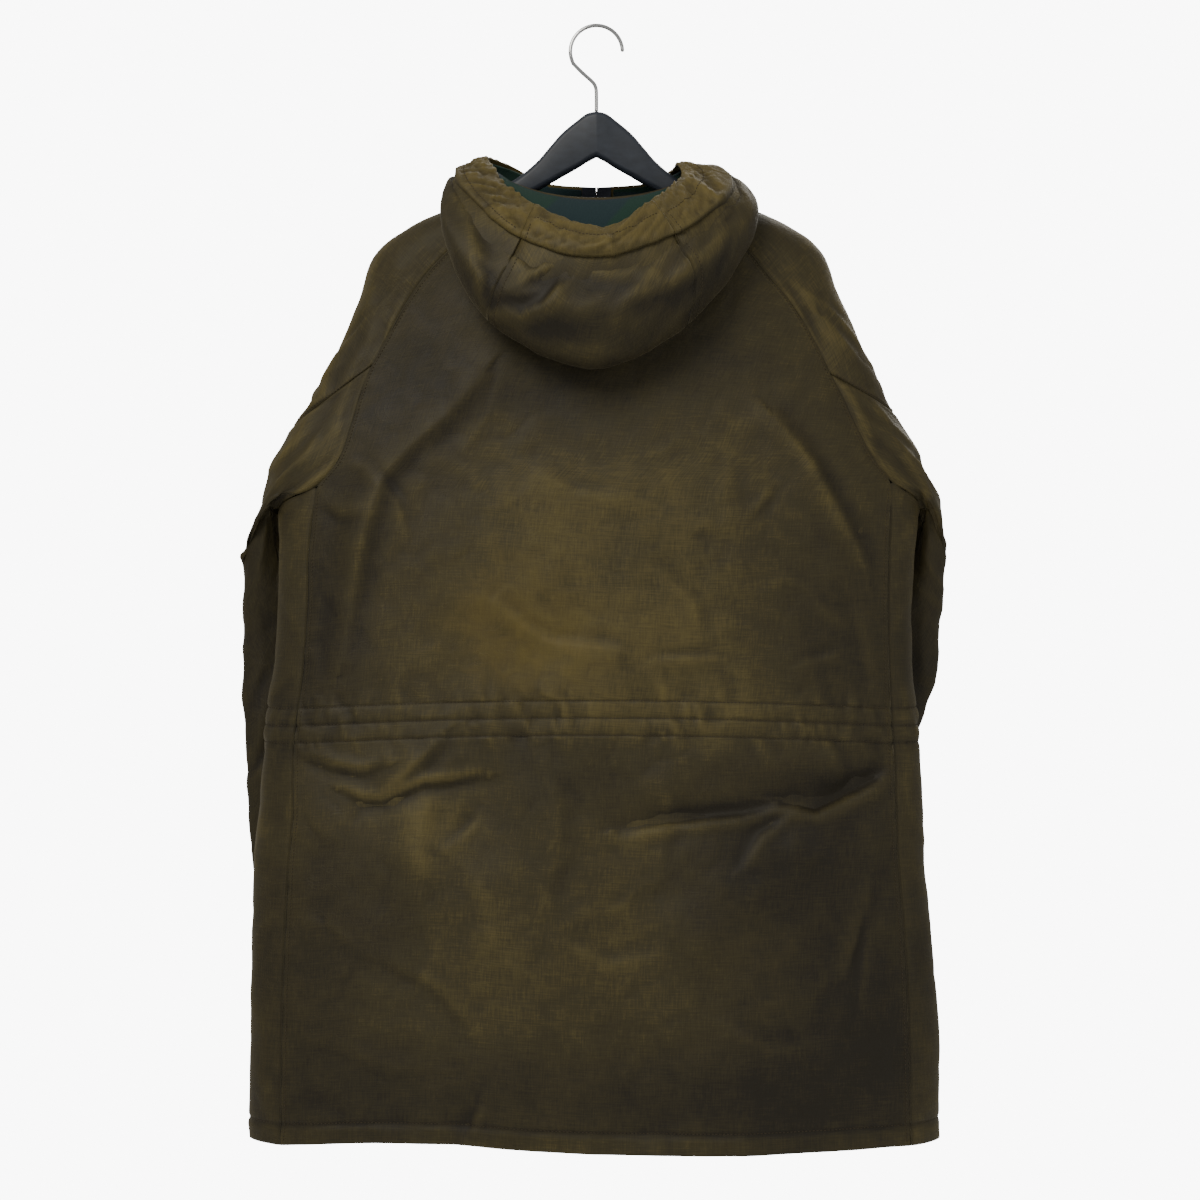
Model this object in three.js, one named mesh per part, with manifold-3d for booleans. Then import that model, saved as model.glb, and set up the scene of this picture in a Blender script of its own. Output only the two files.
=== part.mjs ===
// Waxed cotton jacket with a hood and raglan sleeves, closed, hanging on a coat hanger.
// Units are millimetres, +Z is up, +Y is the jacket's front, +X is the wearer's right.
// The origin is the inside of the crown of the hanger's hook.
import * as THREE from "three";
import Module from "manifold-3d";

// Driving sizes
const CLOTH = 2.2;
const LINING = 1.4;
const SEAM = 0.5;
const ROUNDNESS = 2.4;
const CENTRE_GAP = 3.6;
const CHANNEL_RISE = 1.8;
const HEM_RISE = 0.7;
const HOOK_WIRE = 1.8;
const HOOK_RADIUS = 24.7;
const BACK_COLUMNS = 24;
const FRONT_COLUMNS = 11;
const UNDERARM = 10;
const SEAM_END = 12;
const CROSS_SEAM = 6;

// The trunk, from neck to hem. Columns: height, left edge, right edge, back, front, edge line
const TRUNK = [
  [-135, -84, 84, -50, 52, 0],
  [-163, -118, 118, -51, 53, 2],
  [-177, -142, 147, -51, 54, 4],
  [-201, -192, 200, -51, 54, 8],
  [-219, -213, 218, -51, 54, 10],
  [-264, -227, 235, -51, 54, 11],
  [-325, -257, 262, -52, 53, 11],
  [-365, -280, 286, -54, 51, 10],
  [-413, -300, 305, -57, 49, 8],
  [-457, -301, 306, -60, 47, 6],
  [-530, -301, 300, -62, 46, 5],
  [-600, -305, 299, -63, 46, 5],
  [-650, -312, 304, -63, 47, 4],
  [-720, -318, 308, -68, 50, 3],
  [-800, -324, 311, -74, 54, 2],
  [-886, -326, 319, -79, 58, 0],
  [-971, -328, 324, -83, 61, 0],
  [-1065, -326, 323, -86, 63, 0],
];

// Levels of the lower rows. Columns: height, rise of the cloth there
const LEVELS = [
  [-1055, HEM_RISE],
  [-1045, HEM_RISE],
  [-1035, 0],
  [-1006, 0],
  [-968, 0],
  [-928, 0],
  [-888, 0],
  [-848, 0],
  [-810, 0],
  [-776, 0],
  [-746, 0],
  [-718, 0],
  [-693, 0],
  [-676, 0],
  [-669, 0],
  [-661, CHANNEL_RISE],
  [-653, 0],
  [-645, CHANNEL_RISE],
  [-637, 0],
  [-628, 0],
  [-603, 0],
  [-570, 0],
  [-536, 0],
  [-502, 0],
  [-469, 0],
  [-437, 0],
];

// Side seams, on the back. Columns: height, left, right
const SIDE_SEAM = [
  [-432, -261, 276],
  [-497, -269, 274],
  [-542, -270, 273],
  [-597, -273.5, 274],
  [-650, -280.5, 276],
  [-675, -283, 278],
  [-745, -283, 280],
  [-785, -286, 281],
  [-850, -289.5, 286],
  [-933, -292, 290],
  [-1065, -294, 292],
];

// The hem's height above its lowest line. Columns: width, rise
const HEM = [
  [-330, 0],
  [-215, 11],
  [-125, 12],
  [-75, 8],
  [20, 3],
  [145, 2],
  [265, 4],
  [330, 1],
];

// Stations along each sleeve, as far as the underarm. Columns: back seam across and height,
// outer ridge across, depth and height, front seam across and height
const SLEEVE_TOP_LEFT = [
  [-68, -163, -89.5, -2, -147, -76, -163],
  [-101, -189, -133, 3, -171.5, -104, -188],
  [-134, -215.5, -178, 8, -191, -134, -214],
  [-158, -240, -211, 13, -217, -158, -240],
  [-179, -269, -226, 16, -262, -178, -268],
  [-197, -301, -252, 18, -320, -194, -298],
  [-210.5, -324, -290, 19, -382, -206, -326],
  [-221, -352, -303, 20, -407, -217, -354],
  [-229, -380, -312, 21, -430, -228, -382],
  [-241, -413, -319, 22, -450, -242, -408],
  [-261, -437, -325, 23, -473, -262, -434],
  [-284, -447, -331, 24, -487, -284, -448],
  [-301, -457, -338, 27, -503, -301, -457],
];
const SLEEVE_TOP_RIGHT = [
  [68, -163, 89.5, -2, -147, 76, -163],
  [103, -189, 135, 3, -169.5, 104, -188],
  [138, -216, 180, 8, -188.5, 134, -214],
  [160, -241, 213, 13, -212, 158, -240],
  [181, -265, 231, 16, -256, 178, -268],
  [201, -296, 257, 18, -311, 196, -298],
  [219, -332, 284, 19, -367, 210, -328],
  [231, -356, 301, 20, -393, 220, -354],
  [242, -380, 313, 21, -419, 232, -382],
  [257, -408, 324, 22, -445, 246, -408],
  [276, -432, 329, 23, -466, 268, -434],
  [292, -443, 332, 24, -484, 289, -447],
  [306, -457, 334, 27, -503, 306, -457],
];

// Stations of the lower sleeve. Columns: height, outer edge, depth of the middle, half width,
// half thickness, turn in degrees, angle of the seam in degrees, tilt
const SLEEVE_LOW_LEFT = [
  [-522, 341, 82, 92, 35, 33, -50, 0.3],
  [-560, 341, 85, 97, 33, 30, -64, 0.14],
  [-600, 340.5, 85, 95, 32, 29, -75, 0.04],
  [-645, 340, 84, 91, 31, 29, -80, 0],
  [-690, 338, 84, 87, 31, 30, -80, 0],
  [-730, 336.5, 84, 84, 30, 31, -80, 0],
  [-770, 335.5, 85, 81, 28, 32, -80, 0],
  [-808, 331, 86, 78, 27, 33, -80, 0],
  [-842, 325, 88, 75, 26, 34, -80, 0],
  [-872, 317, 90, 73, 24, 34, -80, 0],
  [-892, 312, 92, 72, 24, 34, -80, 0],
];
const SLEEVE_LOW_RIGHT = [
  [-522, 333, 82, 91, 35, 34, -50, 0.3],
  [-560, 330, 85, 94, 33, 31, -64, 0.14],
  [-600, 328.5, 86, 93, 32, 30, -75, 0.04],
  [-640, 320, 86, 90, 31, 31, -80, 0],
  [-680, 308, 87, 87, 31, 33, -80, 0],
  [-722, 298, 89, 84, 30, 34, -80, 0],
  [-764, 291, 91, 81, 28, 35, -80, 0],
  [-803, 286, 93, 78, 27, 36, -80, 0],
  [-838, 281, 95, 75, 26, 36, -80, 0],
  [-868, 277, 97, 73, 24, 36, -80, 0],
  [-888, 275, 98, 72, 24, 36, -80, 0],
];

// Around the sleeve. Columns: share of each quarter on the shoulder, angle on the lower sleeve,
// turn from the front seam and stand-off where the cloth lies along the chest
const AROUND = [
  [0, -80, 0, 0],
  [0.3, -58, 0, 0],
  [0.56, -36, 0, 0],
  [0.8, -14, 0, 0],
  [1, 8, 0, 0],
  [1.2, 40, 0, 0],
  [1.38, 78, 0, 0],
  [1.53, 118, 0, 0],
  [1.66, 156, 0, 0],
  [1.76, 188, 0, 0],
  [1.84, 214, 0.62, 14],
  [1.9, 238, 0.32, 12],
  [1.96, 260, 0, 15],
  [2, 280, 0, 0],
];

// The hood, thrown back. One row a station, from the left front round the neck to the right.
// Columns: neck, inner layer, bottom, belly, under the band, band, rim
const HOOD = [
  [[-3.6, 54, -204.4], [-3.6, 55, -194], [-3.6, 56, -184], [-3.6, 57, -174],
    [-3.6, 57.5, -163], [-3.6, 58, -152], [-3.6, 58, -142]],
  [[-47, 45, -186.5], [-48, 46.5, -179], [-49, 48, -172], [-49.5, 49, -164],
    [-49.5, 50, -156], [-49, 51, -148], [-47.5, 51, -140]],
  [[-87.5, 28.5, -145.4], [-89.8, 28.5, -143.8], [-91.5, 29, -141.5], [-91.5, 29.5, -139],
    [-89.5, 30.5, -135.5], [-85, 32, -131.5], [-78, 34, -128]],
  [[-91.5, 0, -143], [-106, -2, -149], [-122, -6, -156], [-128, -9, -149],
    [-124, -8, -140], [-115, -4, -130], [-103, 0, -124]],
  [[-89, -25, -145.5], [-112, -34, -160], [-134, -44, -180], [-141, -46, -165],
    [-134, -44, -154], [-121, -38, -143], [-99, -22, -134]],
  [[-77, -50.5, -156.5], [-104, -62, -190], [-132, -70, -222], [-137, -86, -202],
    [-116, -74, -181], [-106, -78, -170], [-86, -48, -155]],
  [[-45, -56.5, -167], [-70, -68, -228], [-95, -80, -287], [-92, -110, -262],
    [-70, -105, -222], [-66, -110, -208], [-56, -76, -181]],
  [[0, -58, -171.5], [-2, -67, -250], [-3, -87, -330.5], [-2, -126, -288],
    [0, -120, -242], [2, -130, -226], [3, -107, -207]],
  [[45, -56.5, -167], [62, -68, -230], [80, -82, -291], [88, -112, -254],
    [72, -110, -219], [66, -112, -204], [50, -82, -179]],
  [[77, -50.5, -156.5], [104, -60, -192], [132, -66, -226], [140, -80, -200],
    [116, -84, -187], [103, -80, -174], [75, -50, -155]],
  [[89, -25, -145.5], [115, -34, -161], [142, -44, -186], [148, -46, -172],
    [132, -54, -165], [112, -42, -149], [80, -24, -142]],
  [[91.5, 0, -143], [106, -2, -149], [124, -8, -156], [130, -10, -148],
    [118, -10, -140], [100, -6, -133], [76, 0, -130]],
  [[87.5, 28.5, -145.5], [89.8, 28.5, -144], [91.3, 29, -141.8], [90.8, 29.5, -139.3],
    [87.5, 30.5, -136.5], [81, 32, -133.5], [71, 33, -131]],
  [[47, 45, -186.5], [48, 46.5, -179], [49, 48, -172], [49, 49, -164],
    [49, 50, -156], [48, 51, -148], [46, 51, -140]],
  [[3.6, 54, -204.4], [3.6, 55, -194], [3.6, 56, -184], [3.6, 57, -174],
    [3.6, 57.5, -163], [3.6, 58, -152], [3.6, 58, -142]],
];
const HOOD_STEPS = [3, 3, 2, 2, 3, 4, 5, 5, 4, 3, 2, 2, 3, 3];
const HOOD_ROW_STEPS = 2;

// Broad folds of the back. Columns: rise, half width, points across and height
const BACK_FOLDS = [
  [5, 26, [[-105, -335], [-141, -375], [-173, -401], [-197, -428], [-216, -481]]],
  [3, 30, [[-216, -481], [-230, -540], [-236, -600]]],
  [5, 20, [[166, -375], [197, -415], [225, -465], [242, -497]]],
  [-5, 22, [[250, -716], [227, -727], [176, -731], [133, -740], [69, -748]]],
  [4, 24, [[215, -770], [150, -800], [80, -850]]],
  [-3, 26, [[-200, -745], [-150, -738], [-105, -725]]],
  [4, 30, [[-150, -690], [-175, -740], [-160, -800]]],
  [-4, 34, [[20, -700], [35, -800], [30, -920], [40, -1020]]],
  [3, 34, [[-90, -820], [-70, -920], [-80, -1020]]],
  [3, 36, [[130, -860], [150, -950], [140, -1030]]],
  [-3, 28, [[-20, -560], [-60, -600], [-110, -585]]],
];

// Hanger, from the middle to one end. Columns: across, top, bottom, depth, half thickness
const HANGER = [
  [0, -80, -123.4, 0, 7],
  [9, -82, -128, 0.8, 7],
  [17, -87.5, -133, 1.6, 7],
  [32.5, -100, -141.5, 3, 7.5],
  [45, -114, -148.5, 4.2, 8],
  [57, -127.5, -155, 5.2, 8],
  [75, -142, -164, 6.6, 8.5],
  [100, -155.7, -176.9, 8.5, 9],
  [142, -179.6, -200.6, 12, 10.5],
  [175, -196.2, -218.7, 14.5, 11],
  [195, -209.4, -230.4, 16, 10.5],
  [206, -220.4, -235.4, 17, 9],
];

// Zip. The slider stands at the top of the closed zip, its pull hanging from it
const TEETH_WIDTH = 5.4;
const TEETH_DEPTH = 2.6;
const TAPE_WIDTH = 14;
const SLIDER_HEIGHT = -156;
const SLIDER_PLATE = [8, 2.2, 13];
const BAIL_WIDTH = 2.2;
const BAIL_HOLE = 1.6;
const BAIL_WALL = 1.2;
const PULL_BAR = 1.6;
const PULL_LENGTH = 27;

// The neckline, from the middle of the front to the side. Columns: across, height
const NECKLINE = [
  [0, -205.2],
  [12, -204.3],
  [30, -197.5],
  [47, -187.6],
  [62, -175.5],
  [76, -163.4],
];

const clamp = (value, low, high) => Math.min(high, Math.max(low, value));
const mix = (a, b, t) => a + (b - a) * t;

function smooth(t) {
  const s = clamp(t, 0, 1);
  return s * s * (3 - 2 * s);
}

// Value of one column of a table at a place, by a curve through the rows
function lookup(table, place, column) {
  const rising = table[1][0] > table[0][0];
  let k = 0;
  while (k < table.length - 2 && (rising ? table[k + 1][0] < place : table[k + 1][0] > place)) {
    k += 1;
  }
  const t = clamp((place - table[k][0]) / (table[k + 1][0] - table[k][0]), 0, 1);
  const slope = (n) => {
    const low = table[Math.max(n - 1, 0)];
    const high = table[Math.min(n + 1, table.length - 1)];
    return (high[column] - low[column]) / (high[0] - low[0]);
  };
  const span = table[k + 1][0] - table[k][0];
  const a = table[k][column];
  const b = table[k + 1][column];
  const t2 = t * t;
  const t3 = t2 * t;
  return (2 * t3 - 3 * t2 + 1) * a + (t3 - 2 * t2 + t) * span * slope(k)
    + (3 * t2 - 2 * t3) * b + (t3 - t2) * span * slope(k + 1);
}

function ring(height) {
  const left = lookup(TRUNK, height, 1);
  const right = lookup(TRUNK, height, 2);
  return {
    middle: (left + right) / 2,
    half: (right - left) / 2,
    back: lookup(TRUNK, height, 3),
    front: lookup(TRUNK, height, 4),
    edge: lookup(TRUNK, height, 5),
  };
}

// Point of the trunk. The turn is 0 at the centre front, a quarter at the right edge
function trunkPoint(turn, height) {
  const r = ring(height);
  const across = Math.sin(turn);
  const along = Math.cos(turn);
  const depth = along > 0 ? r.front - r.edge : r.edge - r.back;
  return new THREE.Vector3(
    r.middle + r.half * Math.sign(across) * Math.abs(across) ** (2 / ROUNDNESS),
    r.edge + depth * Math.sign(along) * Math.abs(along) ** (2 / ROUNDNESS),
    height,
  );
}

// Turn of the trunk at a place across, on the back or on the front
function turnAt(across, height, onBack) {
  const r = ring(height);
  const share = clamp((across - r.middle) / r.half, -1, 1);
  const turn = Math.asin(Math.abs(share) ** (ROUNDNESS / 2)) * Math.sign(share);
  if (!onBack) {
    return turn;
  }
  return share < 0 ? -Math.PI - turn : Math.PI - turn;
}

function trunkNormal(turn, height) {
  const step = 0.01;
  const a = trunkPoint(turn + step, height).sub(trunkPoint(turn - step, height));
  const b = trunkPoint(turn, height + 2).sub(trunkPoint(turn, height - 2));
  const out = a.cross(b).normalize();
  const r = ring(height);
  const away = trunkPoint(turn, height).sub(new THREE.Vector3(r.middle, r.edge, height));
  return out.dot(away) < 0 ? out.negate() : out;
}

// Moves a point out until it stands clear of the trunk
function standClear(point, distance) {
  for (let n = 0; n < 3; n += 1) {
    const r = ring(point.z);
    const depth = point.y > r.edge ? r.front - r.edge : r.edge - r.back;
    const x = (point.x - r.middle) / r.half;
    const y = (point.y - r.edge) / depth;
    const size = (Math.abs(x) ** ROUNDNESS + Math.abs(y) ** ROUNDNESS) ** (1 / ROUNDNESS);
    const gx = Math.sign(x) * (Math.abs(x) / size) ** (ROUNDNESS - 1) / r.half;
    const gy = Math.sign(y) * (Math.abs(y) / size) ** (ROUNDNESS - 1) / depth;
    const slope = Math.hypot(gx, gy);
    const away = (size - 1) / slope;
    if (away < distance) {
      point.x += (gx / slope) * (distance - away);
      point.y += (gy / slope) * (distance - away);
    }
  }
  return point;
}

function hemRise(across, height) {
  const weight = 1 - smooth((height + 1060) / 110);
  return lookup(HEM, across, 1) * weight;
}

// Height of a lower row: level, but for the dip of the waist channel and the hem's line
function rowHeight(across, level) {
  const waist = -8 * (across / 260) ** 2 * Math.exp(-(((level + 655) / 90) ** 2));
  const arm = 2.5 * clamp(across / 260, -1, 1) * smooth((level + 520) / 80);
  return level + waist + hemRise(across, level) + arm;
}

function foldRise(across, height) {
  let rise = 0;
  for (const [size, width, line] of BACK_FOLDS) {
    let nearest = 1e9;
    for (let k = 0; k < line.length - 1; k += 1) {
      const [ax, az] = line[k];
      const [bx, bz] = line[k + 1];
      const length = (bx - ax) ** 2 + (bz - az) ** 2;
      const t = clamp(((across - ax) * (bx - ax) + (height - az) * (bz - az)) / length, 0, 1);
      const d = Math.hypot(across - mix(ax, bx, t), height - mix(az, bz, t));
      nearest = Math.min(nearest, d);
    }
    rise += size * Math.exp(-((nearest / width) ** 2));
  }
  return rise;
}

function sheetGeometry(points, normals, thickness) {
  const rows = points.length;
  const columns = points[0].length;
  const positions = [];
  const index = [];
  for (const side of [0.5, -0.5]) {
    for (let i = 0; i < rows; i += 1) {
      for (let j = 0; j < columns; j += 1) {
        const p = points[i][j].clone().addScaledVector(normals[i][j], thickness * side);
        positions.push(p.x, p.y, p.z);
      }
    }
  }
  const outer = (i, j) => i * columns + j;
  const inner = (i, j) => rows * columns + i * columns + j;
  const quad = (a, b, c, d) => index.push(a, b, c, a, c, d);
  for (let i = 0; i < rows - 1; i += 1) {
    for (let j = 0; j < columns - 1; j += 1) {
      quad(outer(i, j), outer(i, j + 1), outer(i + 1, j + 1), outer(i + 1, j));
      quad(inner(i, j), inner(i + 1, j), inner(i + 1, j + 1), inner(i, j + 1));
    }
  }
  for (let j = 0; j < columns - 1; j += 1) {
    quad(outer(0, j), inner(0, j), inner(0, j + 1), outer(0, j + 1));
    quad(outer(rows - 1, j), outer(rows - 1, j + 1), inner(rows - 1, j + 1), inner(rows - 1, j));
  }
  for (let i = 0; i < rows - 1; i += 1) {
    quad(outer(i, 0), outer(i + 1, 0), inner(i + 1, 0), inner(i, 0));
    const last = columns - 1;
    quad(outer(i, last), inner(i, last), inner(i + 1, last), outer(i + 1, last));
  }
  const geometry = new THREE.BufferGeometry();
  geometry.setAttribute("position", new THREE.Float32BufferAttribute(positions, 3));
  geometry.setIndex(index);
  geometry.computeVertexNormals();
  return geometry;
}

// Normals of a net of points, outward where the columns run to the right of the rows
function netNormals(points) {
  const rows = points.length;
  const columns = points[0].length;
  return points.map((row, i) => row.map((point, j) => {
    const a = points[i][Math.min(j + 1, columns - 1)].clone()
      .sub(points[i][Math.max(j - 1, 0)]);
    const b = points[Math.min(i + 1, rows - 1)][j].clone()
      .sub(points[Math.max(i - 1, 0)][j]);
    return a.cross(b).normalize();
  }));
}

// Draws one border of a net in, square to the border, by half of the seam's gap
function trim(points, side, distance = SEAM / 2) {
  const rows = points.length;
  const columns = points[0].length;
  const across = side === "first" || side === "last";
  const count = across ? rows : columns;
  const border = side === "last" ? columns - 1 : side === "top" ? rows - 1 : 0;
  const inner = border === 0 ? 1 : border - 1;
  const at = (n, line) => (across ? points[n][line] : points[line][n]);
  const moved = [];
  for (let n = 0; n < count; n += 1) {
    const edge = at(n, border);
    const along = at(Math.min(n + 1, count - 1), border).clone()
      .sub(at(Math.max(n - 1, 0), border)).normalize();
    const step = at(n, inner).clone().sub(edge);
    step.addScaledVector(along, -step.dot(along)).normalize();
    moved.push(edge.clone().addScaledVector(step, distance));
  }
  moved.forEach((point, n) => at(n, border).copy(point));
}

// Raglan seam points, shared by the panels and the sleeves
function seamTurn(station, row, onBack) {
  if (station === SEAM_END) {
    return row[0] < 0 ? -Math.PI / 2 : Math.PI / 2;
  }
  return onBack ? turnAt(row[0], row[1], true) : turnAt(row[5], row[6], false);
}

function seamPoint(station, row, onBack) {
  const height = onBack ? row[1] : row[6];
  return trunkPoint(seamTurn(station, row, onBack), height);
}

function seamNormal(station, row, onBack) {
  const height = onBack ? row[1] : row[6];
  return trunkNormal(seamTurn(station, row, onBack), height);
}

const shapes = {};

// Back panel, hem to neck, left seam to right seam
{
  const points = [];
  const normals = [];
  const put = (row, direction, across, height, rise) => {
    const turn = turnAt(across, height, true);
    const normal = trunkNormal(turn, height);
    const point = trunkPoint(turn, height);
    row.push(point.addScaledVector(normal, rise));
    direction.push(normal);
  };
  for (const [level, rise] of LEVELS) {
    const row = [];
    const direction = [];
    const left = lookup(SIDE_SEAM, level, 1);
    const right = lookup(SIDE_SEAM, level, 2);
    for (let j = 0; j <= BACK_COLUMNS; j += 1) {
      const across = mix(left, right, j / BACK_COLUMNS);
      const height = rowHeight(across, level);
      const inset = smooth(Math.min(across - left, right - across) / 45);
      put(row, direction, across, height, rise + foldRise(across, height) * inset);
    }
    points.push(row);
    normals.push(direction);
  }
  for (let k = UNDERARM - 1; k >= 0; k -= 1) {
    const row = [];
    const direction = [];
    const left = SLEEVE_TOP_LEFT[k];
    const right = SLEEVE_TOP_RIGHT[k];
    const dip = -9.5 * (1 - k / UNDERARM) ** 2;
    for (let j = 0; j <= BACK_COLUMNS; j += 1) {
      const s = j / BACK_COLUMNS;
      const across = mix(left[0], right[0], s);
      const height = mix(left[1], right[1], s) + dip * (1 - (2 * s - 1) ** 2);
      const inset = smooth(Math.min(across - left[0], right[0] - across) / 45);
      put(row, direction, across, height, foldRise(across, height) * inset);
    }
    points.push(row);
    normals.push(direction);
  }
  const net = netNormals(points);
  for (let i = 0; i < net.length; i += 1) {
    net[i][0] = normals[i][0];
    net[i][BACK_COLUMNS] = normals[i][BACK_COLUMNS];
  }
  trim(points, "first");
  trim(points, "last");
  shapes.back = sheetGeometry(points, net, CLOTH);
}

// Front panels, from the side seam on the back, round the edge, to the centre front
const CENTRE_LEVELS = [-484, -472, -460, -444, -426, -405, -384, -362, -340, -318, -297, -275,
  -252, -228, -205];

function frontPanel(side) {
  const table = side < 0 ? SLEEVE_TOP_LEFT : SLEEVE_TOP_RIGHT;
  const points = [];
  const normals = [];
  const neckShare = [];
  for (let j = 0; j <= FRONT_COLUMNS; j += 1) {
    const row = table[0];
    const start = seamTurn(0, row, false);
    const turn = mix(start, turnAt(side * CENTRE_GAP, -205, false), j / FRONT_COLUMNS);
    let height = -190;
    for (let n = 0; n < 12; n += 1) {
      height = mix(height, lookup(NECKLINE, Math.abs(trunkPoint(turn, height).x), 1), 0.6);
    }
    neckShare.push(clamp((height - row[6]) / (-205 - row[6]), 0, 1));
  }
  // A row with a dip drops quickly from its edge, to pass below the armpit
  const addRow = (edgeTurn, edgeHeight, centreHeight, rise, neck = 0, dip = 0) => {
    const row = [];
    const direction = [];
    const centreTurn = turnAt(side * CENTRE_GAP, centreHeight, false);
    for (let j = 0; j <= FRONT_COLUMNS; j += 1) {
      const s = j / FRONT_COLUMNS;
      const turn = mix(edgeTurn, centreTurn, s);
      const share = dip > 0
        ? 1 - (1 - s) ** dip
        : mix(smooth(s * 0.6 + 0.4 * s * s), neckShare[j], neck);
      const height = mix(edgeHeight, centreHeight, share);
      const normal = trunkNormal(turn, height);
      row.push(trunkPoint(turn, height).addScaledVector(normal, rise));
      direction.push(normal);
    }
    points.push(row);
    normals.push(direction);
  };
  for (const [level, rise] of LEVELS) {
    const across = lookup(SIDE_SEAM, level, side < 0 ? 1 : 2);
    const edgeHeight = rowHeight(across, level);
    const fromTop = LEVELS.length - 1 - LEVELS.findIndex((row) => row[0] === level);
    const centre = fromTop === 0 ? CENTRE_LEVELS[0] : level - 38 * smooth((level + 650) / 183);
    const dip = [4, 2.2][fromTop] ?? 0;
    addRow(turnAt(across, edgeHeight, true), edgeHeight, centre, rise, 0, dip);
  }
  const edges = [];
  for (let k = UNDERARM + 1; k <= SEAM_END; k += 1) {
    edges.push([seamTurn(k, table[k], true), table[k][1]]);
  }
  for (let k = SEAM_END - 1; k >= 0; k -= 1) {
    edges.push([seamTurn(k, table[k], false), table[k][6]]);
  }
  edges.forEach(([turn, height], k) => {
    addRow(turn, height, CENTRE_LEVELS[k + 1], 0, (k / (edges.length - 1)) ** 2, k === 0 ? 4 : 0);
  });
  for (const row of points) {
    const centre = row[FRONT_COLUMNS];
    centre.x = side * CENTRE_GAP;
  }
  const net = netNormals(points);
  for (let i = 0; i < net.length; i += 1) {
    for (let j = 0; j <= FRONT_COLUMNS; j += 1) {
      if (side > 0) {
        net[i][j].negate();
      }
    }
    net[i][0] = normals[i][0].clone().negate();
  }
  trim(points, "first");
  if (side > 0) {
    points.forEach((row) => row.reverse());
    net.forEach((row) => row.reverse());
  }
  return sheetGeometry(points, net, CLOTH);
}

shapes.front_left = frontPanel(-1);
shapes.front_right = frontPanel(1);

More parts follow.
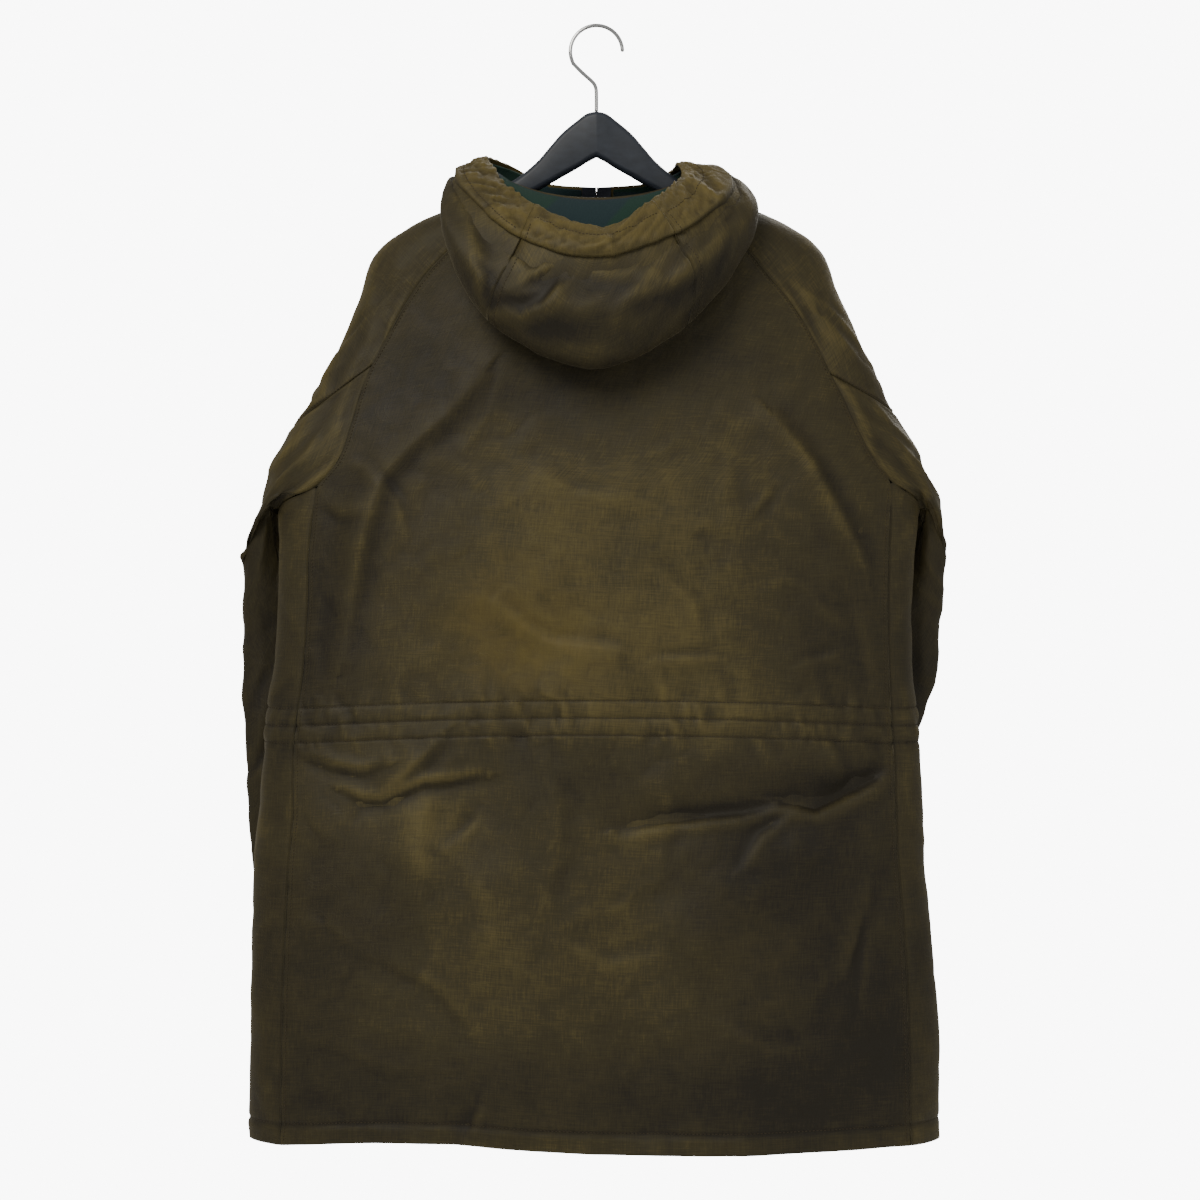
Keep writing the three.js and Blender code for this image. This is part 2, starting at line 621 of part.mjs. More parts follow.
// Sleeves: a net from the back seam over the ridge to the front seam, neck to cuff
function sleeve(side) {
  const top = side < 0 ? SLEEVE_TOP_LEFT : SLEEVE_TOP_RIGHT;
  const low = side < 0 ? SLEEVE_LOW_LEFT : SLEEVE_LOW_RIGHT;
  const points = [];
  const power = 2 / 2.2;
  const lowRing = ([, , depth, half, thick, turnDeg, seamDeg, tilt], height, outer, degrees) => {
    const turn = turnDeg * Math.PI / 180;
    const reach = Math.hypot(half * Math.cos(turn), thick * Math.sin(turn));
    const angle = (degrees + 80 + seamDeg) * Math.PI / 180;
    const a = half * Math.cos(angle);
    const b = thick * Math.sin(angle);
    return new THREE.Vector3(
      side * (outer - reach + a * Math.cos(turn) + b * Math.sin(turn)),
      depth - a * Math.sin(turn) + b * Math.cos(turn),
      height - a * tilt,
    );
  };
  const alongChest = (station, row, turnOff, standOff) => {
    const turn = seamTurn(station, row, false) - side * turnOff;
    const lift = 4 - 22 * turnOff;
    const height = (station === SEAM_END ? row[1] : row[6]) + lift;
    return trunkPoint(turn, height).addScaledVector(trunkNormal(turn, height), standOff);
  };
  top.forEach((row, station) => {
    const back = seamPoint(station, row, true);
    const front = seamPoint(station, row, false);
    const ridge = new THREE.Vector3(row[2], row[3], row[4]);
    const line = [];
    for (const [share, degrees, turnOff, standOff] of AROUND) {
      const onFront = share > 1;
      const start = onFront ? front : back;
      const angle = (onFront ? 2 - share : share) * Math.PI / 2;
      const centre = new THREE.Vector3(start.x, ridge.y, start.z);
      const up = Math.sin(angle) ** power;
      const out = Math.cos(angle) ** power;
      const point = centre.clone()
        .addScaledVector(start.clone().sub(centre), out)
        .addScaledVector(ridge.clone().sub(centre), up);
      if (onFront && station > CROSS_SEAM && share < 2) {
        const part = (station - CROSS_SEAM) / (SEAM_END - CROSS_SEAM);
        if (standOff > 0) {
          const off = standOff * Math.min(1, part * 1.5);
          point.lerp(alongChest(station, row, turnOff * part ** 2.2, off), smooth(part * 2));
        } else {
          const start = [...low[0]];
          start[2] -= 8 + 8 * (SEAM_END - station);
          start[3] -= 16 + 8.5 * (SEAM_END - station);
          const target = lowRing(start, row[4] + 6, Math.abs(row[2]), degrees);
          point.lerp(target, smooth(part * 1.1) * smooth((share - 1) / 0.3));
        }
      }
      if (!onFront && station > CROSS_SEAM) {
        const late = start.z + (ridge.z - start.z) * up ** 2.2;
        point.z = mix(point.z, late, smooth((station - CROSS_SEAM) / 4));
        const puff = share > 0 ? 8 * (1 - share) : 0;
        point.z += puff * smooth((station - UNDERARM + 2) / 3);
      }
      if (station > UNDERARM - 2 && share > 0 && share < 2) {
        standClear(point, share < 0.4 || share > 1.95 ? 3.6 : 5);
      }
      line.push(point);
    }
    if (station > UNDERARM) {
      line[0].z += 1.5;
      line[line.length - 1].z += 1.5;
    }
    points.push(line);
  });
  const first = AROUND.map(([, degrees]) => lowRing(low[0], low[0][0], low[0][1], degrees));
  const knee = points[SEAM_END].map((p, j) => standClear(p.clone().lerp(first[j], 0.45), 12));
  const fold = points[SEAM_END].map((p, j) => standClear(p.clone().lerp(knee[j], 0.15), 8));
  const armpit = top[SEAM_END];
  for (const j of [0, AROUND.length - 1]) {
    fold[j].copy(seamPoint(SEAM_END, armpit, true))
      .addScaledVector(seamNormal(SEAM_END, armpit, true), 8);
    fold[j].z += 2;
  }
  points.push(fold, knee);
  for (const row of low) {
    points.push(AROUND.map(([, degrees]) => (
      standClear(lowRing(row, row[0], row[1], degrees), 6))));
  }
  const net = netNormals(points);
  const last = AROUND.length - 1;
  net.forEach((row) => row.forEach((normal) => {
    if (side < 0) {
      normal.negate();
    }
  }));
  top.forEach((row, station) => {
    net[station][0] = seamNormal(station, row, true).negate();
    net[station][last] = seamNormal(station, row, false).negate();
  });
  for (let i = SEAM_END + 1; i < points.length; i += 1) {
    const mean = net[i][0].clone().add(net[i][last]).normalize();
    net[i][0] = mean.clone();
    net[i][last] = mean;
  }
  trim(points, "first");
  trim(points, "last");
  return { points, net };
}

function sleevePieces(side, name) {
  const { points, net } = sleeve(side);
  const turned = (list) => list.map((row) => (side > 0 ? [...row] : [...row].reverse()));
  const copy = (from, to) => points.slice(from, to).map((row) => row.map((p) => p.clone()));
  const upper = copy(0, CROSS_SEAM + 1);
  const lower = copy(CROSS_SEAM, points.length);
  trim(upper, "top");
  trim(lower, "bottom");
  shapes[`shoulder_${name}`] = sheetGeometry(turned(upper), turned(net.slice(0, CROSS_SEAM + 1)),
    CLOTH);
  shapes[`sleeve_${name}`] = sheetGeometry(turned(lower), turned(net.slice(CROSS_SEAM)), CLOTH);
}

sleevePieces(-1, "left");
sleevePieces(1, "right");

// Hood: the table's points joined by curves both ways
function curve(a, b, c, d, t) {
  const t2 = t * t;
  const t3 = t2 * t;
  return 0.5 * ((2 * b) + (c - a) * t + (2 * a - 5 * b + 4 * c - d) * t2
    + (3 * b - a - 3 * c + d) * t3);
}

function through(list, k, t) {
  const at = (n) => list[clamp(n, 0, list.length - 1)];
  const [a, b, c, d] = [at(k - 1), at(k), at(k + 1), at(k + 2)];
  return [0, 1, 2].map((n) => curve(a[n], b[n], c[n], d[n], t));
}

{
  const columns = [];
  HOOD_STEPS.forEach((steps, k) => {
    for (let n = 0; n < steps; n += 1) {
      columns.push([k, n / steps]);
    }
  });
  columns.push([HOOD.length - 2, 1]);
  const points = [];
  for (let level = 0; level < 6 * HOOD_ROW_STEPS + 1; level += 1) {
    const k = Math.min(Math.floor(level / HOOD_ROW_STEPS), 5);
    const t = level / HOOD_ROW_STEPS - k;
    const row = [];
    for (const [station, along] of columns) {
      const across = HOOD[0].map((_, n) => through(HOOD.map((line) => line[n]), station, along));
      row.push(new THREE.Vector3(...through(across, k, t)));
    }
    points.push(row);
  }
  const net = netNormals(points);
  const leftSeam = HOOD_STEPS.slice(0, 6).reduce((a, b) => a + b, 0);
  const rightSeam = HOOD_STEPS.slice(0, 8).reduce((a, b) => a + b, 0);
  const part = (from, to) => ({
    points: points.map((row) => row.slice(from, to + 1).map((p) => p.clone())),
    net: net.map((row) => row.slice(from, to + 1)),
  });
  const left = part(0, leftSeam);
  const centre = part(leftSeam, rightSeam);
  const right = part(rightSeam, columns.length - 1);
  trim(left.points, "last");
  trim(centre.points, "first");
  trim(centre.points, "last");
  trim(right.points, "first");
  shapes.hood_left = sheetGeometry(left.points, left.net, CLOTH);
  shapes.hood_centre = sheetGeometry(centre.points, centre.net, CLOTH);
  shapes.hood_right = sheetGeometry(right.points, right.net, CLOTH);
  const inward = -(CLOTH / 2 + 1.1 + LINING / 2);
  const inner = (list) => list.slice(1, list.length - 1).map((row) => row.slice(1, -1));
  const lining = inner(points.map((row, i) => row
    .map((p, j) => p.clone().addScaledVector(net[i][j], inward))));
  shapes.hood_lining = sheetGeometry(lining, inner(net), LINING);
}

// Zip: tapes behind the centre edges, teeth between them, slider and pull at the top
const ZIP_LEVELS = [-1050, -990, -930, -870, -810, -750, -690, -630, -570, -510, -455, -400,
  -350, -300, -250, -225, -205, -184, -163, -143];

function zipDepth(height) {
  if (height > -204) {
    return mix(54, 58, smooth((height + 204) / 50));
  }
  return trunkPoint(turnAt(0, height, false), height).y;
}

function zipStrip(from, to, lift, thickness, sink = 0) {
  const points = ZIP_LEVELS.map((height) => [to, from].map((across) => new THREE.Vector3(
    across,
    zipDepth(height) + lift - sink * smooth((height + 225) / 20),
    height,
  )));
  return sheetGeometry(points, netNormals(points), thickness);
}

const tapeLift = -(CLOTH / 2 + 0.8 + 1 / 2);
const teethLift = tapeLift + 0.5 + 0.4 + TEETH_DEPTH / 2;
shapes.zip_tape_left = zipStrip(-TAPE_WIDTH, -0.25, tapeLift, 1, 1.8);
shapes.zip_tape_right = zipStrip(0.25, TAPE_WIDTH, tapeLift, 1, 1.8);
shapes.zip_teeth = zipStrip(-TEETH_WIDTH / 2, TEETH_WIDTH / 2, teethLift, TEETH_DEPTH);

const slotFace = zipDepth(SLIDER_HEIGHT) + teethLift + TEETH_DEPTH / 2 + 0.5;
const plateFace = slotFace + SLIDER_PLATE[1];
const pinDepth = plateFace + BAIL_HOLE + 0.2;

const wasm = await Module();
wasm.setup();

function toSolid(geometry) {
  const place = geometry.attributes.position;
  const order = geometry.index
    ? Uint32Array.from(geometry.index.array)
    : Uint32Array.from({ length: place.count }, (_, n) => n);
  const mesh = new wasm.Mesh({
    numProp: 3,
    vertProperties: Float32Array.from(place.array),
    triVerts: order,
  });
  mesh.merge();
  return new wasm.Manifold(mesh);
}

function toGeometry(solid) {
  const mesh = solid.getMesh();
  const geometry = new THREE.BufferGeometry();
  geometry.setAttribute("position", new THREE.BufferAttribute(mesh.vertProperties, 3));
  geometry.setIndex(new THREE.BufferAttribute(mesh.triVerts, 1));
  return geometry;
}

// Slider: a plate, and a bail on it that the pull's bar turns in
{
  const plate = new THREE.BoxGeometry(...SLIDER_PLATE);
  plate.translate(0, slotFace + SLIDER_PLATE[1] / 2, SLIDER_HEIGHT);
  const reach = BAIL_HOLE + BAIL_WALL;
  const outline = new THREE.Shape();
  outline.moveTo(-BAIL_HOLE - 0.7, -reach);
  outline.lineTo(reach, -reach);
  outline.lineTo(reach, reach);
  outline.lineTo(-BAIL_HOLE - 0.7, reach);
  outline.closePath();
  const hole = new THREE.Path();
  hole.moveTo(-BAIL_HOLE, -BAIL_HOLE);
  hole.lineTo(-BAIL_HOLE, BAIL_HOLE);
  hole.lineTo(BAIL_HOLE, BAIL_HOLE);
  hole.lineTo(BAIL_HOLE, -BAIL_HOLE);
  hole.closePath();
  outline.holes.push(hole);
  const bail = new THREE.ExtrudeGeometry(outline, { depth: BAIL_WIDTH, bevelEnabled: false });
  bail.translate(0, 0, -BAIL_WIDTH / 2);
  bail.applyMatrix4(new THREE.Matrix4().makeBasis(
    new THREE.Vector3(0, 1, 0),
    new THREE.Vector3(0, 0, 1),
    new THREE.Vector3(1, 0, 0),
  ));
  bail.translate(0, pinDepth, SLIDER_HEIGHT);
  shapes.zip_slider = toGeometry(toSolid(plate).add(toSolid(bail)));
}

// Pull: a flat frame whose top bar lies in the bail, widening to a tab
{
  const bar = PULL_BAR / 2;
  const outline = new THREE.Shape();
  outline.moveTo(-2.9, bar);
  outline.lineTo(-2.9, -7);
  outline.lineTo(-3.4, -12);
  outline.lineTo(-3.4, -PULL_LENGTH + 2);
  outline.lineTo(-2, -PULL_LENGTH);
  outline.lineTo(2, -PULL_LENGTH);
  outline.lineTo(3.4, -PULL_LENGTH + 2);
  outline.lineTo(3.4, -12);
  outline.lineTo(2.9, -7);
  outline.lineTo(2.9, bar);
  outline.closePath();
  const hole = new THREE.Path();
  hole.moveTo(-1.7, -bar);
  hole.lineTo(1.7, -bar);
  hole.lineTo(1.7, -5.6);
  hole.lineTo(-1.7, -5.6);
  hole.closePath();
  outline.holes.push(hole);
  const pull = new THREE.ExtrudeGeometry(outline, { depth: PULL_BAR, bevelEnabled: false });
  pull.translate(0, 0, -PULL_BAR / 2);
  pull.rotateX(Math.PI / 2);
  pull.translate(0, pinDepth, SLIDER_HEIGHT);
  shapes.zip_pull = pull;
}

// A closed skin over rings of points, all turning the same way
function ringGeometry(rings, startTip, endTip) {
  const count = rings[0].length;
  const positions = rings.flat().flatMap((p) => [p.x, p.y, p.z]);
  const index = [];
  for (let i = 0; i < rings.length - 1; i += 1) {
    for (let j = 0; j < count; j += 1) {
      const n = (j + 1) % count;
      const [a, b] = [i * count + j, i * count + n];
      index.push(a, b, b + count, a, b + count, a + count);
    }
  }
  const first = rings.length * count;
  positions.push(startTip.x, startTip.y, startTip.z, endTip.x, endTip.y, endTip.z);
  const last = (rings.length - 1) * count;
  for (let j = 0; j < count; j += 1) {
    const n = (j + 1) % count;
    index.push(first, n, j);
    index.push(first + 1, last + j, last + n);
  }
  const geometry = new THREE.BufferGeometry();
  geometry.setAttribute("position", new THREE.Float32BufferAttribute(positions, 3));
  geometry.setIndex(index);
  return geometry;
}

// Hanger body: rounded sections from one end to the other
{
  const rows = [
    ...HANGER.slice(1).reverse().map(([x, ...rest]) => [-x, ...rest]),
    ...HANGER,
  ];
  const rings = rows.map(([across, top, bottom, depth, half]) => {
    const corner = Math.min(half - 1, (top - bottom) / 2 - 1, 6.5);
    const ringPoints = [];
    for (const [sy, sz] of [[1, 1], [-1, 1], [-1, -1], [1, -1]]) {
      const turns = sy * sz > 0 ? [0, 0.5, 1] : [1, 0.5, 0];
      for (const t of turns) {
        const angle = t * Math.PI / 2;
        const y = depth + sy * (half - corner + corner * Math.cos(angle));
        const z = sz > 0
          ? top - corner + corner * Math.sin(angle)
          : bottom + corner - corner * Math.sin(angle);
        ringPoints.push(new THREE.Vector3(across, y, z));
      }
    }
    return ringPoints;
  });
  const tip = ([across, top, bottom, depth], out) => (
    new THREE.Vector3(across + out, depth, (top + bottom) / 2));
  shapes.hanger_body = ringGeometry(rings, tip(rows[0], -1.5), tip(rows[rows.length - 1], 1.5));
}

// Hook: round wire from its rounded tip over the crown and down into the hanger
{
  const middle = HOOK_WIRE - HOOK_RADIUS;
  const path = [];
  for (let k = 0; k <= 26; k += 1) {
    const angle = (3 + (205 * k) / 26) * Math.PI / 180;
    path.push([HOOK_RADIUS * Math.cos(angle), middle + HOOK_RADIUS * Math.sin(angle)]);
  }
  path.push([-16, -40.6], [-10, -46.2], [-5, -50.6], [-1.8, -54.4], [-0.3, -59], [0, -66],
    [0, -79.6]);
  const rings = [];
  const tube = (x, z, dx, dz, radius) => {
    const size = Math.hypot(dx, dz);
    const line = [];
    for (let j = 0; j < 10; j += 1) {
      const angle = (j / 10) * 2 * Math.PI;
      const out = radius * Math.cos(angle);
      line.push(new THREE.Vector3(x + (dz / size) * out, radius * Math.sin(angle),
        z - (dx / size) * out));
    }
    rings.push(line);
  };
  const [tx, tz] = path[0];
  tube(tx, tz - 1.4, 0, 1, HOOK_WIRE * 0.62);
  path.forEach(([x, z], k) => {
    const [bx, bz] = path[Math.max(k - 1, 0)];
    const [fx, fz] = path[Math.min(k + 1, path.length - 1)];
    tube(x, z, k === path.length - 1 ? 0 : fx - bx, k === path.length - 1 ? -1 : fz - bz,
      HOOK_WIRE);
  });
  const end = path[path.length - 1];
  shapes.hanger_hook = ringGeometry(
    rings,
    new THREE.Vector3(tx, 0, tz - 1.9),
    new THREE.Vector3(end[0], 0, end[1]),
  );
}

const COLOURS = {
  hood_lining: 0x173f3a,
  zip_slider: 0x8a6a35,
  zip_pull: 0x8a6a35,
  zip_teeth: 0x7a6236,
  zip_tape_left: 0x2a2618,
  zip_tape_right: 0x2a2618,
  hanger_body: 0x1f2226,
  hanger_hook: 0xb8bcc0,
};

function buildGroup() {
  const group = new THREE.Group();
  for (const [name, geometry] of Object.entries(shapes)) {
    const material = new THREE.MeshStandardMaterial({
      color: COLOURS[name] ?? 0x4a3d24,
      roughness: 0.6,
    });
    const mesh = new THREE.Mesh(geometry, material);
    mesh.name = name;
    group.add(mesh);
  }
  return group;
}

export default buildGroup();
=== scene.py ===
# Waxed cotton jacket with a hood and raglan sleeves, closed, seen from behind on its hanger.
# Cloth is worked out in millimetres, as a maker would measure it, and built in metres.
# +Z is up, +Y is the jacket's front, +X is the wearer's right.
import math

import bpy
import numpy as np
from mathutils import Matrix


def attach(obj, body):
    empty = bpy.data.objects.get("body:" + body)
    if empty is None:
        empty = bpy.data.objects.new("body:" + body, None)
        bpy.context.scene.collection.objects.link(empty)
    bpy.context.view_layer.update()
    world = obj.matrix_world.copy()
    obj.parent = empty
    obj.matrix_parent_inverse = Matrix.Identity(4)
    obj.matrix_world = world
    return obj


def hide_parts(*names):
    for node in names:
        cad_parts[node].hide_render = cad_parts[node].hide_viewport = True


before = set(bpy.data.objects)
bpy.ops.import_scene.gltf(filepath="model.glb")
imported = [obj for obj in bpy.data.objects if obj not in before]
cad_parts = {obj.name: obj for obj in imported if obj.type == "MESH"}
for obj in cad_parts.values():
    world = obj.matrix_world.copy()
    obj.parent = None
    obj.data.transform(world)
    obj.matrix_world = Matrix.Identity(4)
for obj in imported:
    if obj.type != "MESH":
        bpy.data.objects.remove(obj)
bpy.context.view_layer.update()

# Camera and light
# The camera is level with the middle of the jacket, 2.3 m behind its hanger.
# Soft daylight comes from the upper left, with a weaker fill and a pale floor far below.
FRAME_WIDTH = 1.14
CAMERA_DISTANCE = 2.3
SENSOR = 36

camera_data = bpy.data.cameras.new("camera")
camera_data.sensor_width = SENSOR
camera_data.lens = SENSOR * CAMERA_DISTANCE / FRAME_WIDTH
camera = bpy.data.objects.new("camera", camera_data)
camera.location = (0.0034, -CAMERA_DISTANCE, -0.544)
camera.rotation_euler = (math.pi / 2, 0, 0)
bpy.context.collection.objects.link(camera)
bpy.context.scene.camera = camera

# Columns: name, watts, size, place, colour
LIGHTS = [
    ("window", 44, 1.3, (-1.0, -2.1, 1.1), (1.0, 0.96, 0.86)),
    ("fill", 7, 2.2, (1.9, -1.7, -0.3), (1.0, 0.98, 0.94)),
    ("rear", 34, 1.8, (0.6, 2.2, 0.8), (1.0, 0.98, 0.94)),
]


def add_light(name, watts, size, place, colour):
    data = bpy.data.lights.new(name, "AREA")
    data.energy = watts
    data.size = size
    data.color = colour
    lamp = bpy.data.objects.new(name, data)
    lamp.location = place
    aim = np.array([0, 0, -0.55]) - np.array(place)
    lamp.rotation_euler = (
        math.acos(-aim[2] / np.linalg.norm(aim)), 0, math.atan2(aim[1], aim[0]) - math.pi / 2)
    bpy.context.collection.objects.link(lamp)


for light in LIGHTS:
    add_light(*light)


def add_node(tree, kind, inputs=None, **settings):
    """A shader node with its settings, its inputs linked or set by name or number."""
    node = tree.nodes.new(kind)
    for key, value in settings.items():
        setattr(node, key, value)
    for key, value in (inputs or {}).items():
        if isinstance(value, bpy.types.NodeSocket):
            tree.links.new(value, node.inputs[key])
        else:
            node.inputs[key].default_value = value
    return node


sky = bpy.data.worlds.new("studio")
sky.use_nodes = True
bpy.context.scene.world = sky
sky_tree = sky.node_tree
sky_tree.nodes.clear()
seen = add_node(sky_tree, "ShaderNodeLightPath")
white = add_node(sky_tree, "ShaderNodeBackground", {"Color": (1, 1, 1, 1), "Strength": 9.0})
soft = add_node(sky_tree, "ShaderNodeBackground", {"Color": (1, 0.98, 0.93, 1), "Strength": 0.36})
both = add_node(sky_tree, "ShaderNodeMixShader", {
    0: seen.outputs["Is Camera Ray"], 1: soft.outputs[0], 2: white.outputs[0]})
add_node(sky_tree, "ShaderNodeOutputWorld", {"Surface": both.outputs[0]})


def srgb(red, green, blue):
    """A colour from its values on a screen, 0 to 255."""
    return (*[((v / 255 + 0.055) / 1.055) ** 2.4 if v > 10 else v / 3295
              for v in (red, green, blue)], 1)


def start_material(name):
    material = bpy.data.materials.new(name)
    material.use_nodes = True
    tree = material.node_tree
    tree.nodes.clear()
    return material, tree


def finish_material(tree, **values):
    """Principled shader, with its constant values on its own sockets."""
    inputs = {key.replace("_", " "): value for key, value in values.items()}
    shader = add_node(tree, "ShaderNodeBsdfPrincipled", inputs)
    add_node(tree, "ShaderNodeOutputMaterial", {"Surface": shader.outputs[0]})
    return shader


floor_material, floor_tree = start_material("floor")
grit = add_node(floor_tree, "ShaderNodeTexNoise", {"Scale": 30.0})
pale = add_node(floor_tree, "ShaderNodeMix", {
    0: grit.outputs["Fac"], 6: (0.86, 0.86, 0.86, 1), 7: (0.9, 0.9, 0.9, 1)}, data_type="RGBA")
finish_material(floor_tree, Base_Color=pale.outputs[2], Roughness=0.9)

FLOOR_HEIGHT = -1.6
floor_mesh = bpy.data.meshes.new("floor")
around = [math.tau * k / 96 for k in range(96)]
floor_mesh.from_pydata([(1.5 * math.cos(a), 1.5 * math.sin(a), FLOOR_HEIGHT) for a in around],
                       [], [range(96)])
floor_mesh.materials.append(floor_material)
floor = bpy.data.objects.new("floor", floor_mesh)
bpy.context.collection.objects.link(floor)


# Waxed cotton
# A close plain weave proofed with wax, which darkens where it is thick, fades to tan where
# the cloth rubs, and cracks in pale lines where it folds. Its colour also carries painted
# light and shade: darker in hollows, creases and shaded parts, paler on ridges and on parts
# turned to the light.
CLOTH = 2.2
DARK_WAX = srgb(31, 26, 14)
MID_WAX = srgb(60, 53, 29)
# The pale end of the cloth's range, for rubbed wax and for painted highlight
WORN_AND_LIT_WAX = srgb(104, 92, 50)
# A golden tone, for a stain on the back and for painted highlight on raised folds
GOLD_STAIN_AND_HIGHLIGHT = srgb(98, 84, 38)


def new_group(name, inputs, outputs):
    """An empty node group with float or vector sockets. Returns it and its two end nodes."""
    group = bpy.data.node_groups.new(name, "ShaderNodeTree")
    kinds = {"vector": "NodeSocketVector", "value": "NodeSocketFloat"}
    for label, kind in inputs:
        group.interface.new_socket(label, in_out="INPUT", socket_type=kinds[kind])
    for label, kind in outputs:
        group.interface.new_socket(label, in_out="OUTPUT", socket_type=kinds[kind])
    return group, group.nodes.new("NodeGroupInput"), group.nodes.new("NodeGroupOutput")


def calculate(tree, operation, *values):
    """Output of a maths node."""
    node = add_node(tree, "ShaderNodeMath", dict(enumerate(values)), operation=operation)
    return node.outputs[0]


# Threads cross over and under; slubs are their thick and thin stretches
weave, weave_in, weave_out = new_group(
    "weave", [("Place", "vector"), ("Pitch", "value")], [("Height", "value"), ("Slub", "value")])
split = add_node(weave, "ShaderNodeSeparateXYZ", {0: weave_in.outputs["Place"]})
waves = []
for axis in (0, 1):
    turns = calculate(weave, "DIVIDE", split.outputs[axis], weave_in.outputs["Pitch"])
    waves.append(calculate(weave, "SINE", calculate(weave, "MULTIPLY", turns, math.tau)))
over = calculate(weave, "MULTIPLY", waves[0], waves[1])
weave.links.new(calculate(weave, "MULTIPLY_ADD", over, 0.5, 0.5), weave_out.inputs["Height"])
slubs = []
for stretch in ((45, 900, 1), (800, 60, 1)):
    longer = add_node(weave, "ShaderNodeVectorMath", {
        0: weave_in.outputs["Place"], 1: stretch}, operation="MULTIPLY")
    noise = add_node(weave, "ShaderNodeTexNoise", {
        "Vector": longer.outputs[0], "Scale": 1.0, "Detail": 2.0})
    slubs.append(noise.outputs["Fac"])
weave.links.new(calculate(weave, "MULTIPLY", calculate(weave, "ADD", *slubs), 0.5),
                weave_out.inputs["Slub"])

# Wax lies in clouds and cracks along fine creases
wax, wax_in, wax_out = new_group(
    "wax", [("Place", "vector"), ("Crack Width", "value")],
    [("Cloud", "value"), ("Mottle", "value"), ("Crack", "value")])
for label, scale, detail, warp in (("Cloud", 7.0, 3.0, 0.4), ("Mottle", 42.0, 5.0, 0.6)):
    noise = add_node(wax, "ShaderNodeTexNoise", {
        "Vector": wax_in.outputs["Place"], "Scale": scale, "Detail": detail, "Distortion": warp})
    wax.links.new(noise.outputs["Fac"], wax_out.inputs[label])
noise = add_node(wax, "ShaderNodeTexNoise", {
    "Vector": wax_in.outputs["Place"], "Scale": 24.0, "Detail": 4.0, "Distortion": 1.6})
away = calculate(wax, "ABSOLUTE", calculate(wax, "SUBTRACT", noise.outputs["Fac"], 0.5))
crack = add_node(wax, "ShaderNodeMapRange", {
    "Value": away, "From Min": 0.0, "From Max": wax_in.outputs["Crack Width"],
    "To Min": 1.0, "To Max": 0.0}, interpolation_type="SMOOTHSTEP")
wax.links.new(crack.outputs[0], wax_out.inputs["Crack"])


def place_group(tree, group, **inputs):
    """Puts a node group in a material."""
    node = tree.nodes.new("ShaderNodeGroup")
    node.node_tree = group
    for key, value in inputs.items():
        if isinstance(value, bpy.types.NodeSocket):
            tree.links.new(value, node.inputs[key.replace("_", " ")])
        else:
            node.inputs[key.replace("_", " ")].default_value = value
    return node


def waxed_cotton(name, dark, mid, worn_and_lit, roughness):
    """The cloth's material. Wear with painted light and shade, and gold with painted highlight, are
    worked out for each point of a piece.
    """
    material, tree = start_material(name)
    place = add_node(tree, "ShaderNodeAttribute", attribute_name="place")
    # Per point: rubbed wax with painted light and shade, then a gold stain with painted highlight
    wear_and_shade = add_node(tree, "ShaderNodeAttribute", attribute_name="wear_and_shade")
    gold_stain_and_highlight = add_node(tree, "ShaderNodeAttribute", attribute_name="gold_stain_and_highlight")
    body = add_node(tree, "ShaderNodeTexCoord")
    threads = place_group(tree, weave, Place=place.outputs["Vector"], Pitch=0.0011)
    marks = place_group(tree, wax, Place=body.outputs["Object"], Crack_Width=0.016)
    cloud = calculate(tree, "MULTIPLY_ADD", marks.outputs["Cloud"], 0.6, -0.3)
    mottle = calculate(tree, "MULTIPLY_ADD", marks.outputs["Mottle"], 0.3, -0.15)
    slub = calculate(tree, "MULTIPLY_ADD", threads.outputs["Slub"], 0.8, -0.4)
    amount = calculate(tree, "ADD", wear_and_shade.outputs["Fac"], cloud)
    amount = calculate(tree, "ADD", amount, mottle)
    amount = calculate(tree, "ADD", amount, slub)
    amount = calculate(tree, "MULTIPLY_ADD", marks.outputs["Crack"], 0.05, amount)
    ramp = add_node(tree, "ShaderNodeValToRGB", {0: amount})
    ramp.color_ramp.elements[0].position = 0.08
    ramp.color_ramp.elements[0].color = dark
    ramp.color_ramp.elements[1].position = 1.0
    ramp.color_ramp.elements[1].color = worn_and_lit
    ramp.color_ramp.elements.new(0.5).color = mid
    warm = calculate(tree, "MULTIPLY", gold_stain_and_highlight.outputs["Fac"], marks.outputs["Mottle"])
    colour = add_node(tree, "ShaderNodeMix", {0: warm, 6: ramp.outputs[0], 7: GOLD_STAIN_AND_HIGHLIGHT},
                      data_type="RGBA")
    gloss = calculate(tree, "MULTIPLY_ADD", marks.outputs["Mottle"], 0.26, roughness - 0.13)
    relief = calculate(tree, "MULTIPLY_ADD", threads.outputs["Slub"], 0.6,
                       threads.outputs["Height"])
    fine = add_node(tree, "ShaderNodeBump", {
        "Height": relief, "Strength": 0.35, "Distance": 0.00022})
    crumple = calculate(tree, "MULTIPLY_ADD", marks.outputs["Crack"], 0.12,
                        marks.outputs["Mottle"])
    bump = add_node(tree, "ShaderNodeBump", {
        "Height": crumple, "Strength": 0.4, "Distance": 0.0016,
        "Normal": fine.outputs[0]})
    shader = finish_material(tree, Base_Color=colour.outputs[2], Roughness=gloss,
                             Normal=bump.outputs[0], Sheen_Weight=0.12, Sheen_Roughness=0.4,
                             IOR=1.4)
    shader.inputs["Sheen Tint"].default_value = (0.85, 0.74, 0.5, 1)
    return material


waxed = waxed_cotton("waxed_cotton", DARK_WAX, MID_WAX, WORN_AND_LIT_WAX, 0.6)

# Shape of the trunk
# The cotton is cut in broad panels, joined by side seams that sit towards the back, so the
# trunk hangs as a flattened tube. Its sizes and its panels' borders are those of the solids.
ROUNDNESS = 2.4
CENTRE_GAP = 3.6

